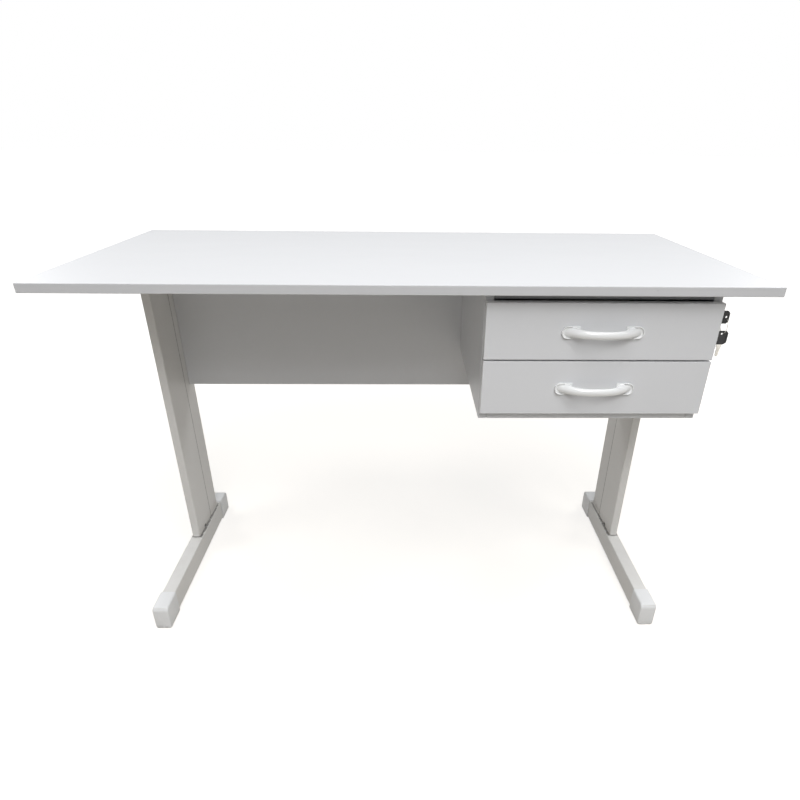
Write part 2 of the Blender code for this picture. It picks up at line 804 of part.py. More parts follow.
def bow_rings(seat, middle_z):
    """Sections of the bow, each between a point on its outer curve and one on its inner curve."""
    outer_reach = HANDLE_LENGTH / 2 - PAD_RIM
    inner_reach = HANDLE_LENGTH / 2 - PAD_LENGTH + PAD_RIM / 2
    root = PAD_THICKNESS / 3
    stations, sides = 26, 18
    rings = []
    for station in range(stations + 1):
        place = math.sin(math.pi * (station / stations - 0.5))
        outer_y = seat - root - (HANDLE_PROJECTION - root) * (1 - place**2)
        rise = HANDLE_PROJECTION - HANDLE_BAR - root
        inner_y = seat - root - rise * (1 - abs(place) ** 3)
        outer = Vector((CABINET_MIDDLE + outer_reach * place, outer_y, middle_z))
        inner = Vector((CABINET_MIDDLE + inner_reach * place, inner_y, middle_z))
        width = HANDLE_BAR_WIDTH + (HANDLE_ROOT_WIDTH - HANDLE_BAR_WIDTH) * abs(place) ** 3
        middle, across = (outer + inner) / 2, (outer - inner) / 2
        ring = []
        for side in range(sides):
            angle = 2 * math.pi * side / sides
            lift = Vector((0, 0, width / 2 * math.sin(angle)))
            ring.append(middle + across * math.cos(angle) + lift)
        rings.append(ring)
    return rings


def handle(name, front, middle_z, body):
    seat = FRONT_FACE - SEAT_GAP
    obj = loft(name + "_handle", bow_rings(seat, middle_z), "handle_plastic", body, smooth=True)
    for side_name, side in (("left", -1), ("right", 1)):
        pad = prism(
            f"pad_{name}_{side_name}",
            pad_outline(side, middle_z),
            "Y",
            seat,
            seat - PAD_THICKNESS,
            "handle_plastic",
            body,
        )
        combine(obj, bevel(pad, PAD_THICKNESS / 3), "UNION")
    for side_name, side in (("left", -1), ("right", 1)):
        middle = (CABINET_MIDDLE + side * HANDLE_HOLES / 2, middle_z)
        screw_name = f"{name}_handle_{side_name}_screw"
        reach = BOARD + SEAT_GAP + SCREW_IN_HANDLE
        screw(screw_name, "Y", middle, FRONT_BACK_FACE, -1, reach, parent=body)
        radius = SCREW_RADIUS + SEAT_GAP
        beyond = FRONT_BACK_FACE + BOARD
        depth = FRONT_BACK_FACE - reach - SEAT_GAP
        for target, start in ((front, "through"), (obj, "blind")):
            drill(target, f"{start}_{screw_name}", "Y", middle, radius, beyond, depth, body)


# ---------------------------------------------------------------- lock and keys


def lock_barrel():
    bore = PLUG_RADIUS + SEAT_GAP
    profile = (
        (BARREL_INNER_X, bore),
        (BARREL_INNER_X, LOCK_BARREL_RADIUS),
        (FLANGE_INNER_X, LOCK_BARREL_RADIUS),
        (FLANGE_INNER_X, LOCK_FLANGE_RADIUS),
        (FLANGE_OUTER_X - 0.4 * LOCK_FLANGE, LOCK_FLANGE_RADIUS),
        (FLANGE_OUTER_X, LOCK_FLANGE_RADIUS - 0.4 * LOCK_FLANGE),
        (FLANGE_OUTER_X, bore),
    )
    turned("lock_barrel", profile, "X", (LOCK_Y, LOCK_Z), "lock_chrome", hollow=True, sides=32)


def pin_middle():
    return (
        LOCK_Y + PIN_THROW * math.cos(PIN_REST_ANGLE),
        LOCK_Z + PIN_THROW * math.sin(PIN_REST_ANGLE),
    )


def lock_plug(body):
    """The turning core, with a disc and an off-centre pin behind it that lift the bar."""
    profile = (
        (PLUG_FACE_X, PLUG_RADIUS),
        (DISC_OUTER_X, PLUG_RADIUS),
        (DISC_OUTER_X, DISC_RADIUS),
        (DISC_INNER_X, DISC_RADIUS),
    )
    plug = turned("lock_plug", profile, "X", (LOCK_Y, LOCK_Z), "lock_chrome", body, sides=32)
    pin_profile = (
        (DISC_OUTER_X - DISC_THICKNESS / 2, PIN_RADIUS),
        (BAR_INNER_X - BAR_SHEET / 2, PIN_RADIUS),
    )
    pin = turned("pin", pin_profile, "X", pin_middle(), "lock_chrome", body, sides=16)
    combine(plug, pin, "UNION")
    slot_half_thickness = KEY_SHEET / 2 + SEAT_GAP
    slot_half_width = KEY_WIDTH / 2 + SEAT_GAP
    slot = box(
        "key_slot",
        (BOW_START_X - KEY_REACH - SEAT_GAP, LOCK_Y - slot_half_thickness, LOCK_Z - slot_half_width),
        (BOW_START_X, LOCK_Y + slot_half_thickness, LOCK_Z + slot_half_width),
        "lock_chrome",
        body,
    )
    combine(plug, slot)


def lock_bar(body):
    """A flat bar on the cabinet side, with a head round the plug's pin and a tab over each runner."""
    strip_low, strip_high = LOCK_Y - BAR_WIDTH / 2, LOCK_Y + BAR_WIDTH / 2
    pin_y, pin_z = pin_middle()
    slot_half = PIN_RADIUS + 2 * BAR_PIN_PLAY
    slot_low = pin_y - slot_half
    slot_high = LOCK_Y + PIN_THROW + slot_half
    head_high_y = slot_high + BAR_SHEET
    head_low, head_top = pin_z - BAR_HEAD_HEIGHT / 2, pin_z + BAR_HEAD_HEIGHT / 2
    tab_bottoms = {
        name: runner_middle(front_bottom) + RUNNER_HEIGHT / 2 + BAR_TAB_CLEARANCE
        for name, front_bottom in DRAWERS.items()
    }
    strip_bottom = min(tab_bottoms.values()) - BAR_TAIL
    tabs_top = max(tab_bottoms.values()) + BAR_TAB_HEIGHT
    outline = [
        (strip_low, strip_bottom),
        (strip_high, strip_bottom),
        (strip_high, head_low),
        (head_high_y, head_low),
        (head_high_y, head_top),
    ]
    if tabs_top > head_top:
        outline += [(strip_high, head_top), (strip_high, tabs_top)]
    outline.append((strip_low, max(head_top, tabs_top)))
    bar = prism("lock_bar", outline, "X", BAR_INNER_X, BAR_OUTER_X, "zinc_steel", body)
    slot = box(
        "pin_slot",
        (BAR_INNER_X - BAR_SHEET, slot_low, pin_z - slot_half),
        (BAR_OUTER_X + BAR_SHEET, slot_high, pin_z + slot_half),
        "zinc_steel",
        body,
    )
    combine(bar, slot)
    for drawer_name, bottom in tab_bottoms.items():
        tab = box(
            "tab_" + drawer_name,
            (BAR_INNER_X - BAR_TAB, strip_low, bottom),
            (BAR_INNER_X + BAR_SHEET / 2, strip_low + BAR_SHEET, bottom + BAR_TAB_HEIGHT),
            "zinc_steel",
            body,
        )
        combine(bar, tab, "UNION")


def key_outline():
    """The flat key from the bow to its tip, along +u, with its cuts in the +v edge."""
    half = KEY_WIDTH / 2
    head = KEY_HEAD_WIDTH / 2
    shoulder = KEY_SHOULDER_WIDTH / 2
    neck = KEY_SHOULDER - (shoulder - half) - SEAT_GAP
    cut_run = KEY_REACH - KEY_SHOULDER
    upper = [(-KEY_HEAD, head), (0.0, head), (0.0, shoulder), (neck, shoulder)]
    upper.append((neck + shoulder - half, half))
    for place, depth in ((0.20, 0), (0.30, 0.35), (0.40, 0.1), (0.52, 0.5), (0.66, 0.15), (0.80, 0.4)):
        upper.append((KEY_SHOULDER + place * cut_run, half * (1 - depth)))
    lower = [(neck + shoulder - half, -half), (neck, -shoulder), (0.0, -shoulder)]
    lower += [(0.0, -head), (-KEY_HEAD, -head)]
    tip = [(KEY_REACH, 0.1 * half), (KEY_REACH, -0.4 * half), (KEY_REACH - 0.5 * half, -half)]
    return upper + tip + lower


def bow_outline():
    """The key's plastic head, along +u from the blade, an oblong with cut corners."""
    half, neck, chamfer = BOW_WIDTH / 2, KEY_SHOULDER_WIDTH / 2, BOW_WIDTH / 6
    upper = [
        (0.0, neck + chamfer / 2),
        (chamfer, half),
        (BOW_LENGTH - chamfer, half),
        (BOW_LENGTH, half - chamfer),
    ]
    return upper + [(u, -v) for u, v in reversed(upper)]


def key(prefix, joint_u, joint_v, hangs, body):
    """A key in the plane Y = LOCK_Y. Its bow meets its blade at (x, z) = (joint_u, joint_v).

    The bow points to +X, or straight up when the key hangs.
    """

    def placed(outline, sign):
        if hangs:
            return [(joint_u - sign * v, joint_v + sign * u) for u, v in outline]
        return [(joint_u + sign * u, joint_v + v) for u, v in outline]

    half_sheet, half_bow = KEY_SHEET / 2, BOW_THICKNESS / 2
    prism(
        prefix + "_blade",
        placed(key_outline(), -1),
        "Y",
        LOCK_Y - half_sheet,
        LOCK_Y + half_sheet,
        "key_steel",
        body,
    )
    bow = prism(
        prefix + "_bow",
        placed(bow_outline(), 1),
        "Y",
        LOCK_Y - half_bow,
        LOCK_Y + half_bow,
        "key_plastic",
        body,
    )
    bevel(bow, BOW_THICKNESS / 5)
    reach, half_width = KEY_HEAD + SEAT_GAP, KEY_HEAD_WIDTH / 2 + SEAT_GAP
    pocket_outline = (
        (-SEAT_GAP, -half_width),
        (reach, -half_width),
        (reach, half_width),
        (-SEAT_GAP, half_width),
    )
    pocket = prism(
        "pocket_" + prefix,
        placed(pocket_outline, 1),
        "Y",
        LOCK_Y - half_sheet - SEAT_GAP,
        LOCK_Y + half_sheet + SEAT_GAP,
        "key_plastic",
        body,
    )
    combine(bow, pocket)
    hole_middle = placed([(BOW_LENGTH - BOW_HOLE_INSET, 0.0)], 1)[0]
    drill(
        bow,
        "ring_hole_" + prefix,
        "Y",
        hole_middle,
        BOW_HOLE_RADIUS,
        LOCK_Y - BOW_THICKNESS,
        LOCK_Y + BOW_THICKNESS,
        body,
        sides=20,
    )


def key_ring(body):
    """A wire ring that hangs in the plane X = RING_HOLE_X from the hole in the bow."""
    middle = Vector((RING_HOLE_X, LOCK_Y, RING_TOP_Z - RING_RADIUS))
    turns, sides = 32, 8
    rings = []
    for turn in range(turns):
        angle = 2 * math.pi * turn / turns
        out = Vector((0, math.cos(angle), math.sin(angle)))
        ring = []
        for side in range(sides):
            around = 2 * math.pi * side / sides
            offset = out * math.cos(around) + Vector((1, 0, 0)) * math.sin(around)
            ring.append(middle + out * RING_RADIUS + offset * RING_WIRE)
        rings.append(ring)
    loft("key_ring", rings, "key_steel", body, hollow=True, smooth=True)


def lock_and_keys():
    lock_barrel()
    plug_body = body_empty("lock_plug_body", (PLUG_FACE_X, LOCK_Y, LOCK_Z))
    lock_plug(plug_body)
    key("key", BOW_START_X, LOCK_Z, False, plug_body)
    bar_body = body_empty("lock_bar_body", (BAR_OUTER_X, LOCK_Y, LOCK_Z))
    lock_bar(bar_body)
    ring_body = body_empty("key_ring_body", (RING_HOLE_X, LOCK_Y, LOCK_Z))
    key_ring(ring_body)
    spare_body = body_empty("spare_key_body", (RING_HOLE_X, LOCK_Y, SPARE_HOLE_Z))
    spare_joint_z = SPARE_HOLE_Z - (BOW_LENGTH - BOW_HOLE_INSET)
    key("spare_key", RING_HOLE_X, spare_joint_z, True, spare_body)


def main():
    clear_scene()
    worktop()
    side_frame("left", -1)
    side_frame("right", 1)
    modesty_panel()
    cabinet()
    for name, front_bottom in DRAWERS.items():
        drawer(name, front_bottom)
    lock_and_keys()


main()
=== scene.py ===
"""Writing desk with two drawers: its finishes, its fine pieces and a plain studio.

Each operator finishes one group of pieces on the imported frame. Metres, +Z up: the worktop's long
side runs along X, the sitter is on the -Y side, and the lock is in the cabinet's right side.
"""

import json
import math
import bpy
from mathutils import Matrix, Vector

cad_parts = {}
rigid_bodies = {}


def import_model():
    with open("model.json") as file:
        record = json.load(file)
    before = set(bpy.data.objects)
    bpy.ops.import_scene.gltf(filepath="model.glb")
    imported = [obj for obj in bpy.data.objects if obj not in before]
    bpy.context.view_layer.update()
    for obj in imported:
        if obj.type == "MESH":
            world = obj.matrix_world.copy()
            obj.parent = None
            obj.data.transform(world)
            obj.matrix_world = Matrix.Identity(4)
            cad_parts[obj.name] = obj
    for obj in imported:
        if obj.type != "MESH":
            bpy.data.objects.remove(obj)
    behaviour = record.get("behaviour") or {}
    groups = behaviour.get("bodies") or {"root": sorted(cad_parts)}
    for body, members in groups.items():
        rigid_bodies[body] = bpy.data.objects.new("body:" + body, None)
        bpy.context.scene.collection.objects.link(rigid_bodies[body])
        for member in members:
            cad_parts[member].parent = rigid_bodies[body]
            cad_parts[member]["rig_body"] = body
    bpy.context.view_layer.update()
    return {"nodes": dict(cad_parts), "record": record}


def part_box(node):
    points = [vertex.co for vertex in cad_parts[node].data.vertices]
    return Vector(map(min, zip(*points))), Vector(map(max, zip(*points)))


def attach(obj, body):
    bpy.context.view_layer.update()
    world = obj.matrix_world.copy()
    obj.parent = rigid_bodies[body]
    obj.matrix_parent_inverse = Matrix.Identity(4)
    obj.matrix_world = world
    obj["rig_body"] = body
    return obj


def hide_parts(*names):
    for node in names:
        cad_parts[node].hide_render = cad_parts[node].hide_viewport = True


bl_info = {
    "name": "Writing Desk",
    "version": (1, 0, 0),
    "blender": (4, 5, 0),
    "location": "3D View > Sidebar > Desk",
    "description": "Finishes a writing desk with melamine boards, steel frames and a drawer cabinet",
    "category": "Object",
}

import bmesh
import bpy
from bpy.props import FloatProperty, FloatVectorProperty, IntProperty, PointerProperty
from mathutils import Matrix, Vector, noise

for startup_object in list(bpy.data.objects):
    bpy.data.objects.remove(startup_object, do_unlink=True)
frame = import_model()

SLOT_OF = {part["node"]: part["material_slot"] for part in frame["record"]["subparts"]}
DRAWERS = ("upper_drawer", "lower_drawer")
SIDES = {"left": -1, "right": 1}

# The sheet steel of the runners and brackets, and how far the edges of small pieces are rounded
RUNNER_SHEET = 0.0012
BRACKET_SHEET = 0.002
SCREW_EDGE = 0.00015
LOCK_EDGE = 0.0002
LOCK_BAR_EDGE = 0.0003
BLADE_EDGE = 0.00012


# ---- what a user would change


def number(name, description, default, **settings):
    return FloatProperty(name=name, description=description, default=default, **settings)


def length(name, description, default):
    return number(name, description, default, min=0.0, unit="LENGTH", precision=5)


def power(name, description, default):
    return number(name, description, default, min=0.0, unit="POWER")


def share(name, description, default):
    return number(name, description, default, min=0.0, max=1.0, subtype="FACTOR")


def angle(name, description, degrees):
    return number(name, description, math.radians(degrees), subtype="ANGLE")


def colour(name, description, default):
    return FloatVectorProperty(
        name=name, description=description, default=default, size=3, min=0.0, max=1.0, subtype="COLOR"
    )


class DeskSizes(bpy.types.PropertyGroup):
    band: length("Edge band", "Thickness of the plastic band on a board's edge", 0.0006)
    arris: length("Board arris", "Rounding of a board's trimmed edges", 0.0007)
    eased_edge: length("Eased edge", "Rounding of a pressed or moulded piece's edges", 0.0004)
    bead: length("Weld bead", "Half the width of a weld bead", 0.0017)
    ripple: length("Weld ripple", "Distance from one ripple of a weld bead to the next", 0.0021)
    handle_voxel: length("Handle grain", "Size of the facets that a handle is moulded from", 0.00045)
    handle_rim: length("Handle rim", "Width of the rim round a handle's foot", 0.0016)
    handle_groove: length("Handle groove", "Width of the groove inside the rim", 0.0019)
    screw_head: length("Screw head", "Radius of a small fixing screw's head", 0.0034)
    ring_wire: length("Ring wire", "Half the thickness of the split ring's wire", 0.00034)
    runner_screws: IntProperty(
        name="Runner screws", description="Screws along each drawer runner", default=3, min=2, max=6
    )


class DeskColours(bpy.types.PropertyGroup):
    board: colour("Board", "Melamine face of the boards", (0.655, 0.665, 0.685))
    # The drawers' band colour is lighter than the board's face: painted highlight along the drawers'
    # rounded edges.
    band: colour("Edge band", "Plastic band on the drawers' edges", (0.74, 0.75, 0.765))
    # The worktop's band colour is darker than its face: painted shade on the worktop's edges.
    worktop_band: colour("Worktop band", "Plastic band on the worktop's edges", (0.53, 0.535, 0.55))
    graphite: colour("Front rail", "Dark melamine of the rail above the drawers", (0.235, 0.242, 0.255))
    core: colour("Board core", "Wood chips where a board's edge is bare", (0.42, 0.29, 0.17))
    hardboard: colour("Hardboard", "Bare side of the thin panels", (0.22, 0.125, 0.065))
    lacquer: colour("Lacquer", "White side of the thin panels", (0.66, 0.655, 0.63))
    paint: colour("Paint", "Powder coat of the steel frames", (0.755, 0.75, 0.735))
    cap: colour("Foot cap", "Moulded caps on the feet", (0.79, 0.80, 0.81))
    handle: colour("Handle", "Moulded drawer handles", (0.79, 0.80, 0.805))
    zinc: colour("Zinc", "Plated fittings", (0.62, 0.62, 0.61))
    nickel: colour("Lock", "Plated lock case", (0.72, 0.71, 0.69))
    key: colour("Key", "Key blades and ring", (0.66, 0.64, 0.60))
    bow: colour("Key head", "Moulded key heads", (0.012, 0.012, 0.013))


class DeskStage(bpy.types.PropertyGroup):
    eye: FloatVectorProperty(
        name="Camera", description="Place of the camera", default=(0.0001, -1.2865, 0.9528),
        unit="LENGTH", subtype="TRANSLATION",
    )
    yaw: angle("Yaw", "Turn of the camera to the left", -1.6274)
    pitch: angle("Pitch", "Tilt of the camera upward", -30.8849)
    roll: angle("Roll", "Roll of the camera", -0.6810)
    lens: number("Lens", "Focal length", 27.6156, min=1.0, subtype="DISTANCE_CAMERA")
    shift: FloatVectorProperty(
        name="Shift", description="Shift of the view across and up", default=(-0.0268, 0.1251), size=2
    )
    key: power("Key lamp", "Lamp high in front, to the right", 17.0)
    front: power("Front lamp", "Lamp in front", 33.0)
    low_front: power("Low front lamp", "Lamp in front, nearer the worktop's height", 7.0)
    steep: power("Steep lamp", "Lamp almost overhead, in front", 18.0)
    left: power("Left lamp", "Lamp high over the left side frame", 18.0)
    right: power("Right lamp", "Lamp high over the right side frame", 16.0)
    rear_left: power("Rear left lamp", "Lamp behind, to the left", 20.0)
    rear_right: power("Rear right lamp", "Lamp behind, to the right", 20.0)
    ambient: share("Ambient", "Strength of the light from all round", 0.08)
    floor: colour("Floor", "Colour of the floor in the light", (0.46, 0.43, 0.385))
    floor_white: share("Floor white", "White that the floor shows besides its own light", 0.70)


# ---- shader nodes


def operation(name, reflected=False):
    """A method that adds the Math node of this name to a wire's tree."""

    def method(self, *others):
        values = (*others, self) if reflected else (self, *others)
        return self.nodes.node("Math", {"operation": name}, dict(enumerate(values)))

    return method


class Wire:
    """A node's output that takes part in arithmetic. Each operation adds its Math node."""

    def __init__(self, nodes, socket):
        self.nodes = nodes
        self.socket = socket

    __add__ = __radd__ = operation("ADD")
    __sub__ = operation("SUBTRACT")
    __rsub__ = operation("SUBTRACT", reflected=True)
    __mul__ = __rmul__ = operation("MULTIPLY")
    __lt__ = operation("LESS_THAN")
    __gt__ = operation("GREATER_THAN")
    __abs__ = operation("ABSOLUTE")
    least = operation("MINIMUM")
    most = operation("MAXIMUM")


class Nodes:
    """The node tree of a material or of the world. node() adds any node to it."""

    def __init__(self, tree):
        self.tree = tree

    def node(self, kind, settings=None, sockets=None, output=0):
        made = self.tree.nodes.new("ShaderNode" + kind)
        for key, value in (settings or {}).items():
            if key == "stops":
                ramp = made.color_ramp
                while len(ramp.elements) < len(value):
                    ramp.elements.new(0.5)
                for element, (position, stop_colour) in zip(ramp.elements, value):
                    element.position = position
                    element.color = (*stop_colour, 1)
            else:
                setattr(made, key, value)
        for key, value in (sockets or {}).items():
            self.feed(made.inputs[key], value)
        return Wire(self, made.outputs[output])

    def feed(self, socket, value):
        if isinstance(value, Wire):
            self.tree.links.new(value.socket, socket)
        elif socket.type == "RGBA" and len(value) == 3:
            socket.default_value = (*value, 1)
        else:
            socket.default_value = value


class Finish(Nodes):
    """One material. Its methods are short forms of node() for what the finishes share."""

    def __init__(self, name, **uniform):
        self.material = bpy.data.materials.new(name)
        self.material.use_nodes = True
        super().__init__(self.material.node_tree)
        self.shader = self.tree.nodes["Principled BSDF"]
        self.place = self.node("TexCoord", output="Object")
        self.set(**uniform)

    def set(self, **sockets):
        """Sets or links the shader's sockets, named in lower case with underscores."""
        known = {socket.name.lower().replace(" ", "_"): socket for socket in self.shader.inputs}
        for name, value in sockets.items():
            self.feed(known[name], value)

    def stretched(self, factors):
        """The place on the object, scaled along each axis."""
        return self.node("VectorMath", {"operation": "MULTIPLY"}, {0: self.place, 1: factors})

    def cloud(self, scale, detail=2.0, at=None, roughness=0.5):
        """Smooth noise from 0 to 1, with scale features to the metre."""
        sockets = {"Vector": at or self.place, "Scale": scale, "Detail": detail, "Roughness": roughness}
        return self.node("TexNoise", {}, sockets)

    def cells(self, scale, at=None, feature="F1", output="Distance"):
        """Cells with scale of them to the metre, by their distance or their colour."""
        sockets = {"Vector": at or self.place, "Scale": scale}
        return self.node("TexVoronoi", {"feature": feature}, sockets, output)

    def mask(self, value, low, high):
        """0 below low, 1 above high, with a soft step between. low may be the larger."""
        sockets = {"Value": value, "From Min": low, "From Max": high}
        return self.node("MapRange", {"interpolation_type": "SMOOTHSTEP"}, sockets)

    def mix(self, factor, first, second):
        return self.node("Mix", {"data_type": "RGBA"}, {0: factor, 6: first, 7: second}, 2)

    def tint(self, base, amount):
        """The colour base, brighter or darker by a number near 1."""
        grey = self.node("CombineXYZ", {}, {0: amount, 1: amount, 2: amount})
        return self.node("VectorMath", {"operation": "MULTIPLY"}, {0: base, 1: grey})

    def facing(self, direction):
        """1 where the surface faces this way, -1 where it faces the other way."""
        normal = self.node("TexCoord", output="Normal")
        return self.node("VectorMath", {"operation": "DOT_PRODUCT"}, {0: normal, 1: direction}, "Value")

    def along(self, axis):
        return self.node("SeparateXYZ", {}, {0: self.place}, axis)

    def done(self, look, roughness, relief, depth, **others):
        """Links the colour, the roughness and a relief that is depth metres high where it is 1."""
        bump = self.node("Bump", {}, {"Strength": 1.0, "Distance": depth, "Height": relief})
        self.set(base_color=look, roughness=roughness, normal=bump, **others)
        return self.material


def colours():
    return bpy.context.scene.desk_colours


def sizes():
    return bpy.context.scene.desk_sizes


def scaled(base, amount):
    """A plain colour, made darker or brighter by this factor."""
    return [min(1.0, amount * part) for part in base]


# ---- finishes


# How far a band's glue line reaches to either side, and how deep an edge counts as its bare core
SEAM = 0.00012
BARE_DEPTH = 0.00025


def edge_distance(finish, low, high, edges):
    """The distance to the nearest of these faces of a box, named like "-X +Z"."""
    nearest = None
    for sign, letter in edges.split():
        axis = "XYZ".index(letter)
        place = finish.along(axis)
        distance = place - low[axis] if sign == "-" else high[axis] - place
        nearest = nearest.least(distance) if nearest else distance
    return nearest


def chipboard(finish):
    """The colour and relief of pressed wood chips."""
    flat = finish.stretched((1.0, 1.0, 1.7))
    chips = finish.cells(520.0, flat, output="Color")
    shade = finish.node("SeparateXYZ", {}, {0: chips})
    grain = finish.cloud(1500.0, 3.0)
    core = colours().core
    stops = [(0.0, scaled(core, 0.45)), (0.45, core), (1.0, scaled(core, 1.7))]
    look = finish.node("ValToRGB", {"stops": stops}, {"Fac": shade * 0.8 + grain * 0.2})
    relief = finish.cells(520.0, flat, "DISTANCE_TO_EDGE") * 2.0 + grain * 0.4
    return look, relief


def melamine(node, banded, bare="", face=None, gloss=0.40, painted_light_band=None):
    """A melamine-faced board. banded and bare name its edges with a plastic band and without one."""
    low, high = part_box(node)
    face = face or colours().board
    band = sizes().band
    finish = Finish(node + "_melamine", ior=1.5)

    mottle = finish.cloud(9.0, 3.0) * 0.5 + finish.cloud(130.0, 2.0) * 0.5
    look = finish.tint(face, 0.982 + mottle * 0.036)
    wiped = finish.cloud(7.0, 4.0, finish.stretched((1.0, 2.6, 1.0)), 0.6)
    gloss_map = gloss - 0.04 + wiped * 0.10
    pearl = finish.cloud(850.0, 2.0) * 0.7 + finish.cells(1700.0, feature="SMOOTH_F1") * 0.3
    relief = pearl * 0.5

    distance = edge_distance(finish, low, high, banded)
    on_band = distance < band
    seam = abs(distance - band) < SEAM
    strip = finish.cloud(60.0, 2.0, finish.stretched((1.0, 1.0, 0.15)))
    # A given band colour carries painted light: painted highlight on the drawers' edges, painted shade
    # on the worktop's edges.
    band_look = finish.tint(painted_light_band or face, 0.985 + strip * 0.03)
    look = finish.mix(on_band, look, band_look)
    look = finish.mix(seam * 0.45, look, scaled(face, 0.45))
    gloss_map = gloss_map - on_band * 0.08
    relief = relief * (1.0 - on_band * 0.6) - seam * 1.5
    if bare:
        chips, chip_relief = chipboard(finish)
        on_core = edge_distance(finish, low, high, bare) < BARE_DEPTH
        look = finish.mix(on_core, look, chips)
        gloss_map = gloss_map + on_core * 0.4
        relief = relief + on_core * chip_relief * 5.0
    return finish.done(look, gloss_map, relief, 0.00004)


def hardboard(name, white_side):
    """Thin fibreboard, lacquered on one side and bare with a mesh print on the other."""
    finish = Finish(name, ior=1.45)
    fibres = finish.cloud(420.0, 4.0, finish.stretched((1.0, 0.35, 1.0)), 0.7)
    white = finish.tint(colours().lacquer, 0.96 + finish.cloud(40.0, 3.0) * 0.06)
    brown = finish.tint(colours().hardboard, 0.7 + fibres * 0.7)
    print_relief = finish.cells(900.0, feature="DISTANCE_TO_EDGE") * 3.0
    lacquered = finish.facing(white_side) > 0.5
    look = finish.mix(lacquered, brown, white)
    relief = fibres * 0.5 + (1.0 - lacquered) * print_relief
    return finish.done(look, 0.75 - lacquered * 0.25 + fibres * 0.08, relief, 0.0001)


def powder_coat():
    """Baked paint on steel: fine orange peel, a few dust nibs, scuffs low down on the feet, and painted
    shade in the joints where each post meets its cover and its foot.
    """
    finish = Finish("powder_coat", ior=1.5, specular_ior_level=0.32)
    peel = finish.cloud(620.0, 2.0, roughness=0.45)
    swell = finish.cloud(90.0, 2.0)
    nibs = finish.mask(finish.cells(160.0), 0.055, 0.03)
    height = finish.along(2)
    low_down = finish.mask(height, 0.12, 0.0)
    scuff_place = finish.stretched((6.0, 0.8, 5.0))
    scuffs = finish.mask(finish.cloud(22.0, 5.0, scuff_place, 0.65), 0.60, 0.72) * low_down
    upward = finish.mask(finish.facing((0, 0, 1)), 0.6, 1.0)
    dust = upward * finish.mask(finish.cloud(35.0, 4.0), 0.35, 0.8)
    look = finish.tint(colours().paint, 0.975 + swell * 0.03 + peel * 0.02)
    look = finish.mix(scuffs * 0.35, look, scaled(colours().paint, 0.72))
    look = finish.mix(dust * 0.18, look, (0.66, 0.64, 0.60))

    # Painted shade in the joints of each post: a dark line on the post behind the cover's rear edge, a
    # dark line where post and cover stand on the foot, and warm brown shade low on the post near the
    # foot.
    cover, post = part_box("left_cable_cover"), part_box("left_post")
    foot_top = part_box("left_foot_tube")[1].z
    uneven = finish.cloud(170.0, 3.0, roughness=0.6) - 0.5
    across = finish.along(1)
    behind = across - cover[1].y + uneven * 0.003
    # Painted shade of the gap behind the cover's rear edge, on the post beside it
    crease = finish.mask(behind, 0.0085, 0.0035) * (across > cover[1].y)
    crease = crease * (height > foot_top) * (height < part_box("left_top_rail")[0].z)
    on_foot = (across > cover[0].y) * (across < post[1].y + 0.002)
    above = height - foot_top
    # Painted shade of the gap where the cover and the post meet the top of the foot
    gap_shade = finish.mask(abs(above - 0.0004 + uneven * 0.0035), 0.0013, 0.0003) * on_foot
    # Painted shade, warm brown, on the lowest 30 mm of the post and cover, darkest where they meet the
    # foot
    post_foot_shade = finish.mask(above + uneven * 0.03, 0.030, 0.0) * on_foot * (above > 0.0)
    look = finish.mix(post_foot_shade * 0.22, look, (0.30, 0.24, 0.19))
    # Both painted shade lines, nearly black
    look = finish.mix(crease.most(gap_shade) * 0.7, look, (0.075, 0.068, 0.06))
    roughness = 0.40 + peel * 0.08 + dust * 0.25 + scuffs * 0.15
    relief = peel + swell * 0.8 + nibs * 1.2 - crease * 3.0
    return finish.done(look, roughness, relief, 0.00006)


def cap_plastic():
    """Moulded polypropylene with a fine spark-eroded grain, darker, rougher and raised in patches
    within 12 mm of the bottom.
    """
    depth = (0.004, 0.004, 0.004)
    finish = Finish("cap_plastic", ior=1.49, subsurface_weight=0.05, subsurface_radius=depth)
    grain = finish.cloud(2100.0, 2.0)
    flow = finish.cloud(45.0, 2.0, finish.stretched((1.0, 0.3, 1.0)))
    height = finish.along(2)
    # Patches within 12 mm of the bottom, darker, rougher and raised
    dark_bottom_patches = finish.mask(height, 0.012, 0.0) * finish.mask(finish.cloud(260.0, 4.0), 0.35, 0.7)
    look = finish.tint(colours().cap, 0.975 + flow * 0.05)
    look = finish.mix(dark_bottom_patches * 0.5, look, (0.33, 0.32, 0.30))
    return finish.done(look, 0.42 + grain * 0.10 + dark_bottom_patches * 0.2, grain + dark_bottom_patches * 2.0, 0.00003)


def handle_plastic():
    """Glossy white moulding, with faint sinks and a little dullness where hands hold it."""
    depth = (0.003, 0.003, 0.003)
    finish = Finish(
        "handle_plastic", ior=1.53, coat_roughness=0.06, subsurface_weight=0.08, subsurface_radius=depth
    )
    sink = finish.cloud(70.0, 2.0)
    haze = finish.cloud(240.0, 4.0, roughness=0.6)
    look = finish.tint(colours().handle, 0.985 + sink * 0.025)
    relief = sink + haze * 0.02
    return finish.done(look, 0.24 + haze * 0.03, relief, 0.00004, coat_weight=0.42 + haze * 0.04)


def zinc(name="zinc_plate"):
    """Bright zinc on rolled steel, with rolling lines along Y and a patchy passivation."""
    finish = Finish(name)
    lines = finish.cloud(900.0, 3.0, finish.stretched((1.0, 0.03, 1.0)), 0.6)
    patches = finish.cloud(55.0, 4.0, roughness=0.6)
    look = finish.tint(colours().zinc, 0.86 + lines * 0.12 + patches * 0.14)
    look = finish.mix(patches * 0.25, look, (0.66, 0.62, 0.50))
    return finish.done(look, 0.26 + patches * 0.16 + lines * 0.10, lines, 0.00003, metallic=1.0)


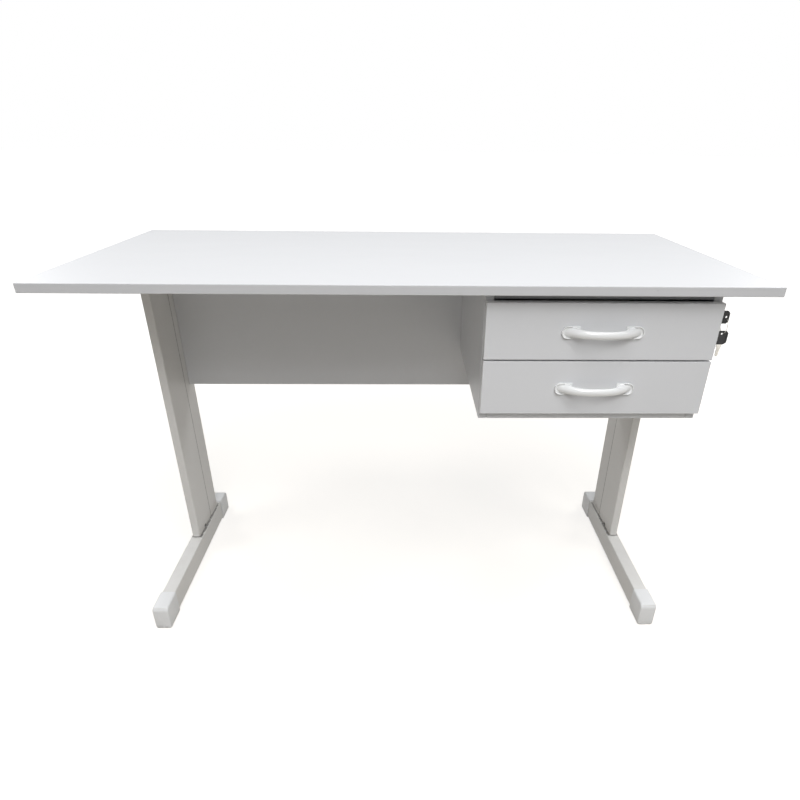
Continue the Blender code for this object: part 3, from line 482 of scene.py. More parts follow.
def lock_nickel():
    """Plated die casting, turned rings on its face and fine handling marks."""
    finish = Finish("lock_nickel")
    low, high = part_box("lock_barrel")
    middle = (low + high) / 2
    across = finish.along(1) - middle.y
    up = finish.along(2) - middle.z
    radius = finish.node("Math", {"operation": "SQRT"}, {0: across * across + up * up})
    turned = {"W": radius, "Scale": 5200.0, "Detail": 2.0}
    rings = finish.node("TexNoise", {"noise_dimensions": "1D"}, turned)
    marks = finish.cloud(700.0, 4.0, finish.stretched((0.2, 1.0, 0.25)), 0.7)
    look = finish.tint(colours().nickel, 0.90 + rings * 0.10 + marks * 0.06)
    return finish.done(look, 0.12 + rings * 0.08 + marks * 0.12, rings, 0.000012, metallic=1.0)


def key_steel():
    """Nickelled key stock with milling lines."""
    finish = Finish("key_steel")
    lines = finish.cloud(1600.0, 3.0, finish.stretched((0.25, 1.0, 1.0)), 0.6)
    stain = finish.cloud(190.0, 3.0)
    look = finish.tint(colours().key, 0.84 + lines * 0.20 + stain * 0.10)
    return finish.done(look, 0.22 + lines * 0.18, lines, 0.00003, metallic=1.0)


def bow_plastic():
    """Black moulding with a fine grain, greyed by handling."""
    finish = Finish("bow_plastic", ior=1.5)
    grain = finish.cloud(3200.0, 2.0)
    handled = finish.mask(finish.cloud(210.0, 3.0), 0.45, 0.8)
    look = finish.mix(handled * 0.35, colours().bow, (0.035, 0.034, 0.033))
    return finish.done(look, 0.34 + grain * 0.14 + handled * 0.08, grain, 0.00003)


# ---- meshes


def shown(name, bm, material, crease=38):
    """Makes the object with its place in its mesh, smooth but for edges past crease degrees."""
    bmesh.ops.recalc_face_normals(bm, faces=bm.faces)
    mesh = bpy.data.meshes.new(name)
    bm.to_mesh(mesh)
    bm.free()
    mesh.shade_smooth()
    mesh.set_sharp_from_angle(angle=math.radians(crease))
    mesh.materials.append(material)
    obj = bpy.data.objects.new(name, mesh)
    bpy.context.scene.collection.objects.link(obj)
    return obj


def placed(obj, body, slot, *nodes):
    """Hands a finished piece to the frame: what it moves with and what it stands for. The slot is not
    used.
    """
    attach(obj, body)
    if nodes:
        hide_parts(*nodes)


def eased(obj, width, segments):
    """Rounds the object's edges, and keeps its flat faces flat in the light."""
    modifier = obj.modifiers.new("eased", "BEVEL")
    modifier.width = width
    modifier.segments = segments
    modifier.limit_method = "ANGLE"
    modifier.angle_limit = math.radians(42)
    weighted = obj.modifiers.new("flat_faces", "WEIGHTED_NORMAL")
    weighted.weight = 100
    weighted.keep_sharp = True


def applied(obj):
    """Turns what the object's modifiers make into its mesh."""
    graph = bpy.context.evaluated_depsgraph_get()
    mesh = bpy.data.meshes.new_from_object(obj.evaluated_get(graph))
    obj.modifiers.clear()
    old, obj.data = obj.data, mesh
    bpy.data.meshes.remove(old)


def cut(target, *cutters):
    """Cuts the cutters from the target, and removes them."""
    for cutter in cutters:
        modifier = target.modifiers.new(cutter.name, "BOOLEAN")
        modifier.operation = "DIFFERENCE"
        modifier.object = cutter
    applied(target)
    for cutter in cutters:
        bpy.data.objects.remove(cutter, do_unlink=True)


def refined(node, material, edge=None, segments=2):
    """A welded copy of a frame node, with its edges eased by this much, in place of the node."""
    source = frame["nodes"][node]
    bm = bmesh.new()
    corners = [bm.verts.new(vertex.co) for vertex in source.data.vertices]
    for polygon in source.data.polygons:
        bm.faces.new([corners[index] for index in polygon.vertices])
    bmesh.ops.remove_doubles(bm, verts=bm.verts, dist=1e-6)
    flat = math.radians(0.6)
    bmesh.ops.dissolve_limit(bm, angle_limit=flat, verts=bm.verts, edges=bm.edges)
    obj = shown(node + "_fine", bm, material)
    if edge:
        eased(obj, edge, segments)
    placed(obj, source["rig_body"], SLOT_OF[node], node)
    return obj


def skin(bm, rings):
    """Faces between rings of as many points each, capped at both ends."""
    loops = [[bm.verts.new(point) for point in ring] for ring in rings]
    for one, other in zip(loops, loops[1:]):
        for index in range(len(one)):
            after = (index + 1) % len(one)
            bm.faces.new((one[index], one[after], other[after], other[index]))
    bm.faces.new(loops[0])
    bm.faces.new(loops[-1])
    bmesh.ops.recalc_face_normals(bm, faces=bm.faces)


def turn_to(direction):
    """A matrix whose Z axis is this direction."""
    return direction.to_track_quat("Z", "Y").to_matrix()


def round_angles(sides):
    return [2 * math.pi * side / sides for side in range(sides)]


def ring_at(middle, direction, radius, sides):
    """A circle of points about a middle, square to the direction."""
    turn = turn_to(direction)
    angles = round_angles(sides)
    return [middle + turn @ Vector((radius * math.cos(a), radius * math.sin(a), 0)) for a in angles]


def turned_solid(bm, profile, base, direction, sides):
    """A turned solid on an axis. Its profile is (distance along the axis, radius)."""
    rings = [ring_at(base + direction * along, direction, radius, sides) for along, radius in profile]
    skin(bm, rings)


def slab(bm, low, high):
    """A block between its lowest and highest corners."""
    low, high = Vector(low), Vector(high)
    made = bmesh.ops.create_cube(bm, size=1.0)["verts"]
    bmesh.ops.scale(bm, vec=high - low, verts=made)
    bmesh.ops.translate(bm, vec=(low + high) / 2, verts=made)


# ---- boards


class DESK_OT_worktop(bpy.types.Operator):
    """Finish the worktop as a banded melamine board"""

    bl_idname = "desk.worktop"
    bl_label = "Worktop"

    def execute(self, context):
        # The worktop's band colour carries painted shade on its edges.
        band = colours().worktop_band
        material = melamine("tabletop", "-X +X -Y +Y", gloss=0.36, painted_light_band=band)
        refined("tabletop", material, sizes().arris, 3)
        return {"FINISHED"}


class DESK_OT_panels(bpy.types.Operator):
    """Finish the modesty panel and the boards of the drawer cabinet"""

    bl_idname = "desk.panels"
    bl_label = "Panels and cabinet"

    def execute(self, context):
        boards = {
            "modesty_panel": ("-Z", "+Z"),
            "cabinet_left_side": ("-Y -Z", "+Y +Z"),
            "cabinet_right_side": ("-Y -Z", "+Y +Z"),
            "cabinet_bottom": ("-Y", "+Y"),
            "cabinet_front_rail": ("-Y", "+Y", colours().graphite),
            "cabinet_rear_rail": ("-Y", "+Y"),
        }
        for node, look in boards.items():
            refined(node, melamine(node, *look), sizes().arris, 3)
        back = hardboard("cabinet_back_panel", (0, -1, 0))
        refined("cabinet_back", back, sizes().arris / 3)
        return {"FINISHED"}


# ---- steel frames


def bead_rings(points, radius, ripple, seed):
    """Rings along a weld, swollen at each ripple and uneven along its length."""
    rings, travelled = [], 0.0
    for index, point in enumerate(points):
        before, after = points[max(0, index - 1)], points[min(len(points) - 1, index + 1)]
        travelled += (point - before).length
        wave = abs(math.sin(math.pi * travelled / ripple))
        uneven = noise.noise(Vector((travelled * 90.0, seed, 0.0)))
        end = min(1.0, 0.45 + 0.3 * min(index, len(points) - 1 - index))
        size = radius * (0.82 + 0.20 * wave + 0.16 * uneven) * end
        wander = Vector((0, 0, 0.25 * radius * uneven))
        rings.append(ring_at(point + wander, after - before, size, 10))
    return rings


def bead_path(corners, step):
    """Points a step apart along straight runs between corners, with each corner rounded."""
    points = []
    for start, end in zip(corners, corners[1:]):
        count = max(1, round((end - start).length / step))
        points += [start.lerp(end, index / count) for index in range(count)]
    points.append(corners[-1])
    for _ in range(3):
        points[1:-1] = [
            (before + 2 * point + after) / 4
            for before, point, after in zip(points, points[1:-1], points[2:])
        ]
    return points


class DESK_OT_side_frames(bpy.types.Operator):
    """Coat the steel side frames and add the weld beads that hold each post"""

    bl_idname = "desk.side_frames"
    bl_label = "Side frames"

    def execute(self, context):
        paint = powder_coat()
        for side in SIDES:
            for piece in ("foot_tube", "post", "cable_cover", "top_rail"):
                refined(f"{side}_{piece}", paint, sizes().eased_edge)
            self.weld(side, paint)
        return {"FINISHED"}

    def weld(self, side, paint):
        low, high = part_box(side + "_post")
        cover_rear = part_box(side + "_cable_cover")[1].y
        step = sizes().ripple / 4
        radius = sizes().bead
        ends = {"foot": (low.z, 1), "rail": (high.z, -1)}
        for seed, (end, (z, up)) in enumerate(ends.items()):
            z += up * radius / 3
            front = cover_rear + 2 * radius if end == "foot" else low.y
            corners = [(low.x, front), (low.x, high.y), (high.x, high.y), (high.x, front)]
            path = bead_path([Vector((x, y, z)) for x, y in corners], step)
            bm = bmesh.new()
            skin(bm, bead_rings(path, radius, sizes().ripple, 7.3 * seed + SIDES[side]))
            bead = shown(f"{side}_{end}_weld", bm, paint, 80)
            placed(bead, "desk", "painted_steel")


class DESK_OT_foot_caps(bpy.types.Operator):
    """Give the moulded caps on the feet their plastic"""

    bl_idname = "desk.foot_caps"
    bl_label = "Foot caps"

    def execute(self, context):
        plastic = cap_plastic()
        for side in SIDES:
            for end in ("front", "rear"):
                refined(f"{side}_{end}_foot_cap", plastic)
        return {"FINISHED"}


# ---- drawers


class DESK_OT_drawers(bpy.types.Operator):
    """Finish the drawer fronts and boxes"""

    bl_idname = "desk.drawers"
    bl_label = "Drawers"

    def execute(self, context):
        boards = {
            "front": ("-X +X -Z +Z", ""),
            "left_side": ("+Z", "-Y +Y -Z"),
            "right_side": ("+Z", "-Y +Y -Z"),
            "back": ("+Z", "-X +X -Z"),
        }
        for drawer in DRAWERS:
            for piece, (banded, bare) in boards.items():
                node = f"{drawer}_{piece}"
                # The drawers' band colour carries a painted highlight along their edges.
                material = melamine(node, banded, bare, painted_light_band=colours().band)
                refined(node, material, sizes().arris, 3)
            bottom = hardboard(drawer + "_bottom_panel", (0, 0, 1))
            refined(drawer + "_bottom", bottom, sizes().arris / 3)
        return {"FINISHED"}


# What a handle's own box doesn't give. The bows are powers: a higher one is flatter in the middle.
HANDLE_FOOT = 0.031
HANDLE_FOOT_RADIUS = 0.0105
HANDLE_FOOT_THICKNESS = 0.0016
HANDLE_BAR = 0.0084
HANDLE_BAR_WIDTH = 0.0126
HANDLE_ROOT_WIDTH = 0.0168
HANDLE_STANDS_OUT = 0.92
HANDLE_RIM_RISE = 0.0030
HANDLE_RIM_RUN = 0.007
HANDLE_BAR_OVERLAP = 0.0018
HANDLE_OUTER_BOW = 2.5
HANDLE_INNER_BOW = 3.4


def half_round(centre, height, side, radius, steps=20):
    """Points (x, z) from the lowest to the highest, round the outer end of a foot."""
    angles = [-math.pi / 2 + math.pi * step / steps for step in range(steps + 1)]
    return [(centre + side * radius * math.cos(a), height + radius * math.sin(a)) for a in angles]


def foot_outline(middle, side, length):
    """A handle foot in elevation: straight at its inner end and half round at its outer end."""
    radius = HANDLE_FOOT_RADIUS
    inner = middle.x + side * (length / 2 - HANDLE_FOOT)
    outer = half_round(middle.x + side * (length / 2 - radius), middle.z, side, radius)
    return [(inner, middle.z - radius), *outer, (inner, middle.z + radius)]


def bow_rings(middle, length, seat, reach):
    """Sections of the bowed bar, each across from its outer curve to its inner curve."""
    inset = sizes().handle_rim + sizes().handle_groove
    outer_reach = length / 2 - inset
    inner_reach = length / 2 - HANDLE_FOOT + HANDLE_BAR_OVERLAP
    root = HANDLE_FOOT_THICKNESS / 3
    stations, around = 72, round_angles(40)
    rings = []
    for station in range(stations + 1):
        place = math.sin(math.pi * (station / stations - 0.5))
        outer_y = seat - root - (reach - root) * (1 - abs(place) ** HANDLE_OUTER_BOW)
        inner_y = seat - root - (reach - HANDLE_BAR - root) * (1 - abs(place) ** HANDLE_INNER_BOW)
        outer = Vector((middle.x + outer_reach * place, outer_y, middle.z))
        inner = Vector((middle.x + inner_reach * place, inner_y, middle.z))
        width = HANDLE_BAR_WIDTH + (HANDLE_ROOT_WIDTH - HANDLE_BAR_WIDTH) * abs(place) ** 3
        centre, across = (outer + inner) / 2, (outer - inner) / 2
        rings.append([
            centre + across * math.cos(a) + Vector((0, 0, width / 2 * math.sin(a))) for a in around
        ])
    return rings


def rim_outline(middle, side, length):
    """The raised rim round a foot's outer end, as one closed outline."""
    outer = HANDLE_FOOT_RADIUS
    inner = outer - sizes().handle_rim
    centre = middle.x + side * (length / 2 - outer)
    back = centre - side * HANDLE_RIM_RUN
    points = [(back, middle.z - outer), *half_round(centre, middle.z, side, outer)]
    points += [(back, middle.z + outer), (back, middle.z + inner)]
    points += half_round(centre, middle.z, side, inner)[::-1]
    return points + [(back, middle.z - inner)]


class DESK_OT_handles(bpy.types.Operator):
    """Mould each handle as one piece: two rimmed feet and a bowed bar"""

    bl_idname = "desk.handles"
    bl_label = "Handles"

    def execute(self, context):
        plastic = handle_plastic()
        steel = zinc("handle_screw_zinc")
        for drawer in DRAWERS:
            self.mould(drawer, plastic)
            for side in SIDES:
                refined(f"{drawer}_handle_{side}_screw", steel, SCREW_EDGE)
        return {"FINISHED"}

    def mould(self, drawer, plastic):
        node = drawer + "_handle"
        low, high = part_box(node)
        middle, length = (low + high) / 2, high.x - low.x
        seat, reach = high.y, HANDLE_STANDS_OUT * (high.y - low.y)
        bm = bmesh.new()
        skin(bm, bow_rings(middle, length, seat, reach))
        for side in SIDES.values():
            outline = foot_outline(middle, side, length)
            foot_face = seat - HANDLE_FOOT_THICKNESS
            skin(bm, [[(u, y, v) for u, v in outline] for y in (seat, foot_face)])
            rim = rim_outline(middle, side, length)
            skin(bm, [[(u, y, v) for u, v in rim] for y in (seat, foot_face - HANDLE_RIM_RISE)])
        obj = shown(node + "_moulding", bm, plastic, 180)
        remesh = obj.modifiers.new("moulded", "REMESH")
        remesh.mode = "VOXEL"
        remesh.voxel_size = sizes().handle_voxel
        smooth = obj.modifiers.new("drawn", "SMOOTH")
        smooth.iterations = 3
        applied(obj)
        for vertex in obj.data.vertices:
            vertex.co.y = max(low.y, min(vertex.co.y, seat))
        obj.data.shade_smooth()
        placed(obj, drawer, SLOT_OF[node], node)


def cross_head(bm, base, direction, radius):
    """A pan head on a surface, with a cross recess sunk into its crown."""
    height = 0.42 * radius
    arm, slot = 0.58 * radius, 0.13 * radius
    recess_floor = height * 0.45
    turn = turn_to(direction)
    angles = round_angles(24)

    def point(distance, angle, level):
        return base + turn @ Vector((distance * math.cos(angle), distance * math.sin(angle), level))

    rings = []
    for wide, tall in ((1.0, 0.0), (1.0, 0.35), (0.93, 0.72), (0.76, 1.0)):
        rings.append([point(wide * radius, angle, tall * height) for angle in angles])
    # The recess's rim follows a cross: far along each arm and near between two arms.
    rim, floor = [], []
    for angle in angles:
        off = abs((angle + math.pi / 4) % (math.pi / 2) - math.pi / 4)
        reach = min(arm, slot / math.sin(off)) if off > 0.01 else arm
        rim.append(point(reach, angle, height))
        floor.append(point(0.8 * reach, angle, recess_floor))
    skin(bm, rings + [rim, floor])


def screws(name, body, steel, radius, heads):
    """Cross-head screws as one piece. Each of the heads is its seat and its direction."""
    bm = bmesh.new()
    for seat, direction in heads:
        cross_head(bm, seat, direction, radius)
    placed(shown(name, bm, steel), body, "zinc_steel")


class DESK_OT_runners(bpy.types.Operator):
    """Plate the drawer runners and drive their fixing screws"""

    bl_idname = "desk.runners"
    bl_label = "Runners"

    def execute(self, context):
        steel = zinc()
        for drawer in DRAWERS:
            for side, toward in SIDES.items():
                self.fix(f"{drawer}_{side}_outer_runner", "desk", toward, -toward, steel)
                self.fix(f"{drawer}_{side}_inner_runner", drawer, -toward, toward, steel)
        return {"FINISHED"}

    def fix(self, node, body, web_side, head_way, steel):
        """Screws through the web of a runner. web_side is the side that its web lies on."""
        refined(node, steel, sizes().eased_edge / 2)
        low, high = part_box(node)
        x = (high.x if web_side > 0 else low.x) + head_way * RUNNER_SHEET
        count = sizes().runner_screws
        heads = []
        for index in range(count):
            y = low.y + (high.y - low.y) * (index + 0.5) / count
            heads.append((Vector((x, y, (low.z + high.z) / 2)), Vector((head_way, 0, 0))))
        screws(node + "_screws", body, steel, sizes().screw_head, heads)


# ---- lock and keys


class DESK_OT_lock(bpy.types.Operator):
    """Plate the lock's case and plug and the bar that it lifts"""

    bl_idname = "desk.lock"
    bl_label = "Lock"

    def execute(self, context):
        nickel = lock_nickel()
        for node in ("lock_barrel", "lock_plug"):
            refined(node, nickel, LOCK_EDGE)
        refined("lock_bar", zinc("bar_zinc"), LOCK_BAR_EDGE)
        return {"FINISHED"}


# Each key's body and the axis that its head runs along
KEYS = {"key": ("lock_core", "X"), "spare_key": ("spare_key", "Z")}
BOW_CORNER = 0.0022
BOW_LEAST_CORNER = 0.0002
BOW_HALF_THICKNESS = 0.0021
BOW_PANEL_INSET = 0.0032
BOW_PANEL_SLOPE = 0.0004
BOW_PANEL_DEPTH = 0.0005
BOW_CREASE = 50
RING_HOLE_RADIUS = 0.0022
RING_HOLE_FLARE = 1.35 * RING_HOLE_RADIUS
RING_HOLE_INSET = 0.005
CLEARANCE = 0.0002
# A blade's groove on each face: its width, its depth, how far along it runs and its offset
BLADE_GROOVE = 0.0011
BLADE_GROOVE_DEPTH = 0.0004
BLADE_GROOVE_RUN = (-0.030, -0.0075)
BLADE_GROOVE_OFFSETS = {1: 0.0008, -1: -0.0010}
# Where the split ring's wire starts, and the turns over which it steps across to its second turn
RING_START = 0.62 * math.pi
RING_STEP_FROM = 0.92
RING_STEP_OVER = 0.16


def key_matrix(prefix):
    """Takes (along, across, thick) of a key, from where its blade meets its head, to its place."""
    low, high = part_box(prefix + "_bow")
    start = (low + high) / 2
    if KEYS[prefix][1] == "X":
        start.x = low.x
        along, across = Vector((1, 0, 0)), Vector((0, 0, 1))
    else:
        start.z = low.z
        along, across = Vector((0, 0, 1)), Vector((-1, 0, 0))
    turn = Matrix((along, across, along.cross(across))).transposed()
    return Matrix.Translation(start) @ turn.to_4x4()


def shrunk(polygon, distance):
    """The corners of a convex polygon, drawn anticlockwise, with every side moved inward."""
    corners = []
    for index, corner in enumerate(polygon):
        into = (corner - polygon[index - 1]).normalized()
        out = (polygon[(index + 1) % len(polygon)] - corner).normalized()
        bisector = (out - into).normalized()
        sine = abs(into.x * bisector.y - into.y * bisector.x)
        corners.append(corner + bisector * distance / sine)
    return corners


def rounded(polygon, inset, radius, steps=6):
    """A convex polygon drawn smaller by the inset, with as many points round each corner."""
    left = max(radius - inset, BOW_LEAST_CORNER)
    points = []
    for index, centre in enumerate(shrunk(polygon, inset + left)):
        into = polygon[index] - polygon[index - 1]
        out = polygon[(index + 1) % len(polygon)] - polygon[index]
        start = math.atan2(into.y, into.x) - math.pi / 2
        turn = (math.atan2(out.y, out.x) - math.atan2(into.y, into.x)) % (2 * math.pi)
        for step in range(steps + 1):
            angle = start + turn * step / steps
            points.append(centre + left * Vector((math.cos(angle), math.sin(angle))))
    return points


def bow_mesh(prefix):
    """The key's head: an oblong with cut, rounded corners and a sunk panel on each face."""
    low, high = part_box(prefix + "_bow")
    size = high - low
    run, width = (size.x, size.z) if KEYS[prefix][1] == "X" else (size.z, size.x)
    half, thick = width / 2, size.y / 2
    cut_corner = half / 3
    lower = [(0.0, -0.58 * half), (cut_corner, -half)]
    lower += [(run - cut_corner, -half), (run, cut_corner - half)]
    outline = [Vector(point) for point in lower + [(u, -v) for u, v in reversed(lower)]]
    sunk = (BOW_PANEL_INSET + BOW_PANEL_SLOPE, thick - BOW_PANEL_DEPTH)
    levels = [sunk, (BOW_PANEL_INSET, thick)]
    edge = 0.45 * thick
    for step in range(6):
        angle = math.pi / 2 * step / 5
        levels.append((edge * (1 - math.sin(angle)), thick - edge * (1 - math.cos(angle))))
    levels += [(inset, -level) for inset, level in reversed(levels)]
    sections = [(rounded(outline, inset, BOW_CORNER), level) for inset, level in levels]
    bm = bmesh.new()
    skin(bm, [[(u, v, level) for u, v in section] for section, level in sections])
    return bm, run


class DESK_OT_keys(bpy.types.Operator):
    """Make the two keys with their moulded heads, and the split ring between them"""

    bl_idname = "desk.keys"
    bl_label = "Keys and ring"

    def execute(self, context):
        steel, plastic = key_steel(), bow_plastic()
        for prefix, (body, _) in KEYS.items():
            self.bow(prefix, body, plastic)
            self.blade(prefix, steel)
        self.ring(steel)
        return {"FINISHED"}

    def bow(self, prefix, body, plastic):
        place = key_matrix(prefix)
        bm, run = bow_mesh(prefix)
        bmesh.ops.transform(bm, matrix=place, verts=bm.verts)
        head = shown(prefix + "_head", bm, plastic, BOW_CREASE)
        thickness = place.to_3x3() @ Vector((0, 0, 1))
        hole_middle = place @ Vector((run - RING_HOLE_INSET, 0, 0))
        mouth, throat = BOW_HALF_THICKNESS + CLEARANCE, 0.7 * BOW_HALF_THICKNESS
        profile = [(-mouth, RING_HOLE_FLARE), (-throat, RING_HOLE_RADIUS)]
        profile += [(throat, RING_HOLE_RADIUS), (mouth, RING_HOLE_FLARE)]
        hole = bmesh.new()
        turned_solid(hole, profile, hole_middle, thickness, 32)
        hole_cutter = shown(prefix + "_hole", hole, plastic)
        # The pocket only reaches as far as the blade's tail inside the head.
        pocket = bmesh.new()
        blade_low, blade_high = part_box(prefix + "_blade")
        room = Vector((CLEARANCE, CLEARANCE, CLEARANCE))
        slab(pocket, blade_low - room, blade_high + room)
        pocket_cutter = shown(prefix + "_pocket", pocket, plastic)
        cut(head, hole_cutter, pocket_cutter)
        head.data.shade_smooth()
        head.data.set_sharp_from_angle(angle=math.radians(BOW_CREASE))
        placed(head, body, SLOT_OF[prefix + "_bow"], prefix + "_bow")

    def blade(self, prefix, steel):
        node = prefix + "_blade"
        blade = refined(node, steel, BLADE_EDGE)
        place = key_matrix(prefix)
        low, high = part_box(node)
        half = (high.y - low.y) / 2
        tip, root = BLADE_GROOVE_RUN
        cutters = []
        for sign, offset in BLADE_GROOVE_OFFSETS.items():
            middle = Vector((0, offset, sign * half))
            reach = Vector((0, BLADE_GROOVE / 2, BLADE_GROOVE_DEPTH))
            groove = bmesh.new()
            slab(groove, middle - reach + Vector((tip, 0, 0)), middle + reach + Vector((root, 0, 0)))
            bmesh.ops.transform(groove, matrix=place, verts=groove.verts)
            cutters.append(shown(f"{node}_groove_{sign}", groove, steel))
        cut(blade, *cutters)

    def ring(self, steel):
        """Two turns of wire side by side, with a step from the first to the second."""
        low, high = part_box("key_ring")
        middle = (low + high) / 2
        wire = sizes().ring_wire
        radius = (high.z - low.z) / 2 - (high.x - low.x) / 2
        steps = 128
        rings = []
        for step in range(steps + 1):
            turn = 2 * step / steps
            angle = 2 * math.pi * turn + RING_START
            step_share = min(1.0, max(0.0, (turn - RING_STEP_FROM) / RING_STEP_OVER))
            eased_share = step_share * step_share * (3 - 2 * step_share)
            aside = 0.98 * wire * (2 * eased_share - 1)
            out = Vector((0, math.cos(angle), math.sin(angle)))
            forward = Vector((0, -math.sin(angle), math.cos(angle)))
            point = middle + out * radius + Vector((aside, 0, 0))
            rings.append(ring_at(point, forward, wire, 10))
        bm = bmesh.new()
        skin(bm, rings)
        placed(shown("split_ring", bm, steel), "key_loop", SLOT_OF["key_ring"], "key_ring")


# ---- fasteners


class DESK_OT_fasteners(bpy.types.Operator):
    """Fit the screws and plate the brackets that hold the panel, the frames and the cabinet"""

    bl_idname = "desk.fasteners"
    bl_label = "Screws and brackets"

    def execute(self, context):
        steel = zinc("bracket_zinc")
        radius = sizes().screw_head
        for side, sign in SIDES.items():
            for row in ("upper", "lower"):
                node = f"{side}_{row}_panel_bracket"
                refined(node, steel, sizes().eased_edge / 2)
                low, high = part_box(node)
                middle = (low + high) / 2
                off_corner = BRACKET_SHEET / 2
                on_panel = Vector((middle.x - sign * off_corner, low.y + BRACKET_SHEET, middle.z))
                post_face = (high.x if sign > 0 else low.x) - sign * BRACKET_SHEET
                on_post = Vector((post_face, middle.y + off_corner, middle.z))
                heads = [(on_panel, Vector((0, 1, 0))), (on_post, Vector((-sign, 0, 0)))]
                screws(node + "_screws", "desk", steel, radius, heads)
            for end in ("front", "rear"):
                refined(f"{side}_{end}_top_screw", steel, SCREW_EDGE)
        self.hang_cabinet(steel, radius)
        return {"FINISHED"}

    def hang_cabinet(self, steel, radius):
        """Larger screws up through the cabinet's two rails into the worktop."""
        heads = []
        for node in ("cabinet_front_rail", "cabinet_rear_rail"):
            low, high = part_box(node)
            for part_way in (0.15, 0.85):
                x = low.x + (high.x - low.x) * part_way
                heads.append((Vector((x, (low.y + high.y) / 2, low.z)), Vector((0, 0, -1))))
        screws("cabinet_hanging_screws", "desk", steel, 1.3 * radius, heads)


# ---- stage


def seen(nodes):
    """1 for what the camera sees, directly, in a reflection or through glass, and 0 for light."""
    camera = nodes.node("LightPath", output="Is Camera Ray")
    glossy = nodes.node("LightPath", output="Is Glossy Ray")
    return camera.most(glossy).most(nodes.node("LightPath", output="Is Transmission Ray"))


# Each lamp's place, what it points at and its width
LAMPS = {
    "key": ((0.8, -1.8, 2.7), (0.1, -0.1, 0.5), 0.8),
    "front": ((0.0, -2.6, 2.5), (0.0, -0.1, 0.5), 1.0),
    "low_front": ((0.3, -2.9, 1.9), (0.0, 0.0, 0.5), 0.8),
    "steep": ((0.0, -1.2, 3.2), (0.0, -0.1, 0.4), 0.9),
    "left": ((-1.5, -0.4, 2.9), (-0.4, 0.0, 0.4), 0.8),
    "right": ((1.5, -0.4, 2.9), (0.4, 0.0, 0.4), 0.8),
    "rear_left": ((-2.5, 1.9, 2.0), (0.0, 0.0, 0.4), 1.2),
    "rear_right": ((2.5, 1.9, 2.0), (0.0, 0.0, 0.4), 1.2),
}


def lamp(name, place, target, size, watts):
    data = bpy.data.lights.new(name + "_lamp", "AREA")
    data.shape = "DISK"
    data.size = size
    data.energy = watts
    obj = bpy.data.objects.new(name + "_lamp", data)
    obj.location = place
    obj.rotation_euler = (Vector(target) - Vector(place)).to_track_quat("-Z", "Y").to_euler()
    bpy.context.scene.collection.objects.link(obj)


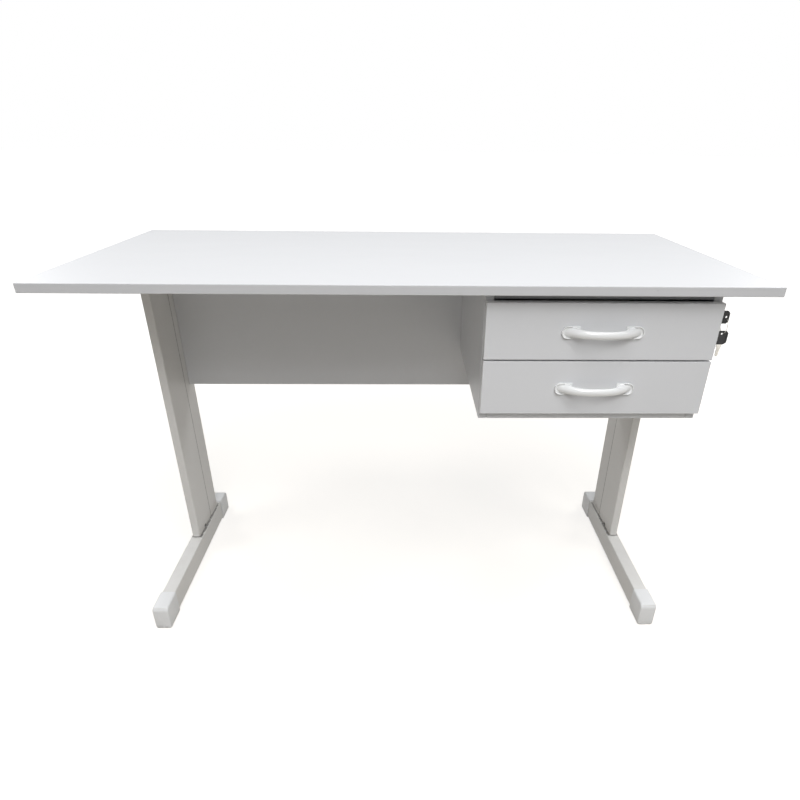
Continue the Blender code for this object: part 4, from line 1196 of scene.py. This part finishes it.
class DESK_OT_stage(bpy.types.Operator):
    """Set the floor, the soft lamps, the pale surroundings and the camera"""

    bl_idname = "desk.stage"
    bl_label = "Studio"

    def execute(self, context):
        settings = context.scene.desk_stage
        self.floor(settings)
        self.surroundings(settings)
        for name, (place, target, size) in LAMPS.items():
            lamp(name, place, target, size, getattr(settings, name))
        self.camera(context, settings)
        context.scene.view_settings.view_transform = "Standard"
        return {"FINISHED"}

    def floor(self, settings):
        finish = Finish("floor")
        away = finish.node("VectorMath", {"operation": "LENGTH"}, {0: finish.place}, "Value")
        fade = finish.mask(away, 0.9, 2.6)
        glow = seen(finish) * (settings.floor_white + fade * (1.0 - settings.floor_white))
        finish.set(
            base_color=finish.tint(settings.floor, 0.98 + finish.cloud(5.0, 2.0) * 0.04),
            roughness=0.85,
            emission_color=finish.tint((1.0, 1.0, 1.0), glow),
            emission_strength=1.0,
        )
        bm = bmesh.new()
        bmesh.ops.create_circle(bm, cap_ends=True, segments=96, radius=40.0)
        floor = shown("floor", bm, finish.material)

    def surroundings(self, settings):
        world = bpy.data.worlds.new("surroundings")
        world.use_nodes = True
        bpy.context.scene.world = world
        sky = Nodes(world.node_tree)
        dim = sky.node("Background", {}, {"Color": (1, 1, 1), "Strength": settings.ambient})
        white = sky.node("Background", {}, {"Color": (1, 1, 1), "Strength": 1.0})
        mixed = sky.node("MixShader", {}, {0: seen(sky), 1: dim, 2: white})
        sky.feed(sky.tree.nodes["World Output"].inputs["Surface"], mixed)

    def camera(self, context, settings):
        data = bpy.data.cameras.new("camera")
        data.lens = settings.lens
        data.shift_x, data.shift_y = settings.shift
        data.clip_end = 100.0
        obj = bpy.data.objects.new("camera", data)
        turn = (
            Matrix.Rotation(settings.yaw, 3, "Z")
            @ Matrix.Rotation(settings.pitch, 3, "X")
            @ Matrix.Rotation(settings.roll, 3, "Y")
        )
        right, forward, up = turn.col
        axes = Matrix((right, up, -forward)).transposed()
        obj.matrix_world = Matrix.Translation(settings.eye) @ axes.to_4x4()
        context.scene.collection.objects.link(obj)
        context.scene.camera = obj


# ---- panel and registration


OPERATORS = (
    DESK_OT_worktop,
    DESK_OT_panels,
    DESK_OT_side_frames,
    DESK_OT_foot_caps,
    DESK_OT_drawers,
    DESK_OT_handles,
    DESK_OT_runners,
    DESK_OT_lock,
    DESK_OT_keys,
    DESK_OT_fasteners,
    DESK_OT_stage,
)
GROUPS = {"desk_sizes": DeskSizes, "desk_colours": DeskColours, "desk_stage": DeskStage}


class DESK_PT_sidebar(bpy.types.Panel):
    """Lists the desk's pieces and the values that can be changed"""

    bl_label = "Writing Desk"
    bl_idname = "DESK_PT_sidebar"
    bl_space_type = "VIEW_3D"
    bl_region_type = "UI"
    bl_category = "Desk"

    def draw(self, context):
        column = self.layout.column(align=True)
        for operator in OPERATORS:
            column.operator(operator.bl_idname)
        for attribute, group in GROUPS.items():
            box = self.layout.box()
            for name in group.__annotations__:
                box.prop(getattr(context.scene, attribute), name)


def register():
    for attribute, group in GROUPS.items():
        bpy.utils.register_class(group)
        setattr(bpy.types.Scene, attribute, PointerProperty(type=group))
    for part in (*OPERATORS, DESK_PT_sidebar):
        bpy.utils.register_class(part)


def unregister():
    for part in (DESK_PT_sidebar, *reversed(OPERATORS)):
        bpy.utils.unregister_class(part)
    for attribute, group in reversed(GROUPS.items()):
        delattr(bpy.types.Scene, attribute)
        bpy.utils.unregister_class(group)


def main():
    register()
    for operator in OPERATORS:
        group, name = operator.bl_idname.split(".")
        getattr(getattr(bpy.ops, group), name)()


if __name__ == "__main__":
    main()
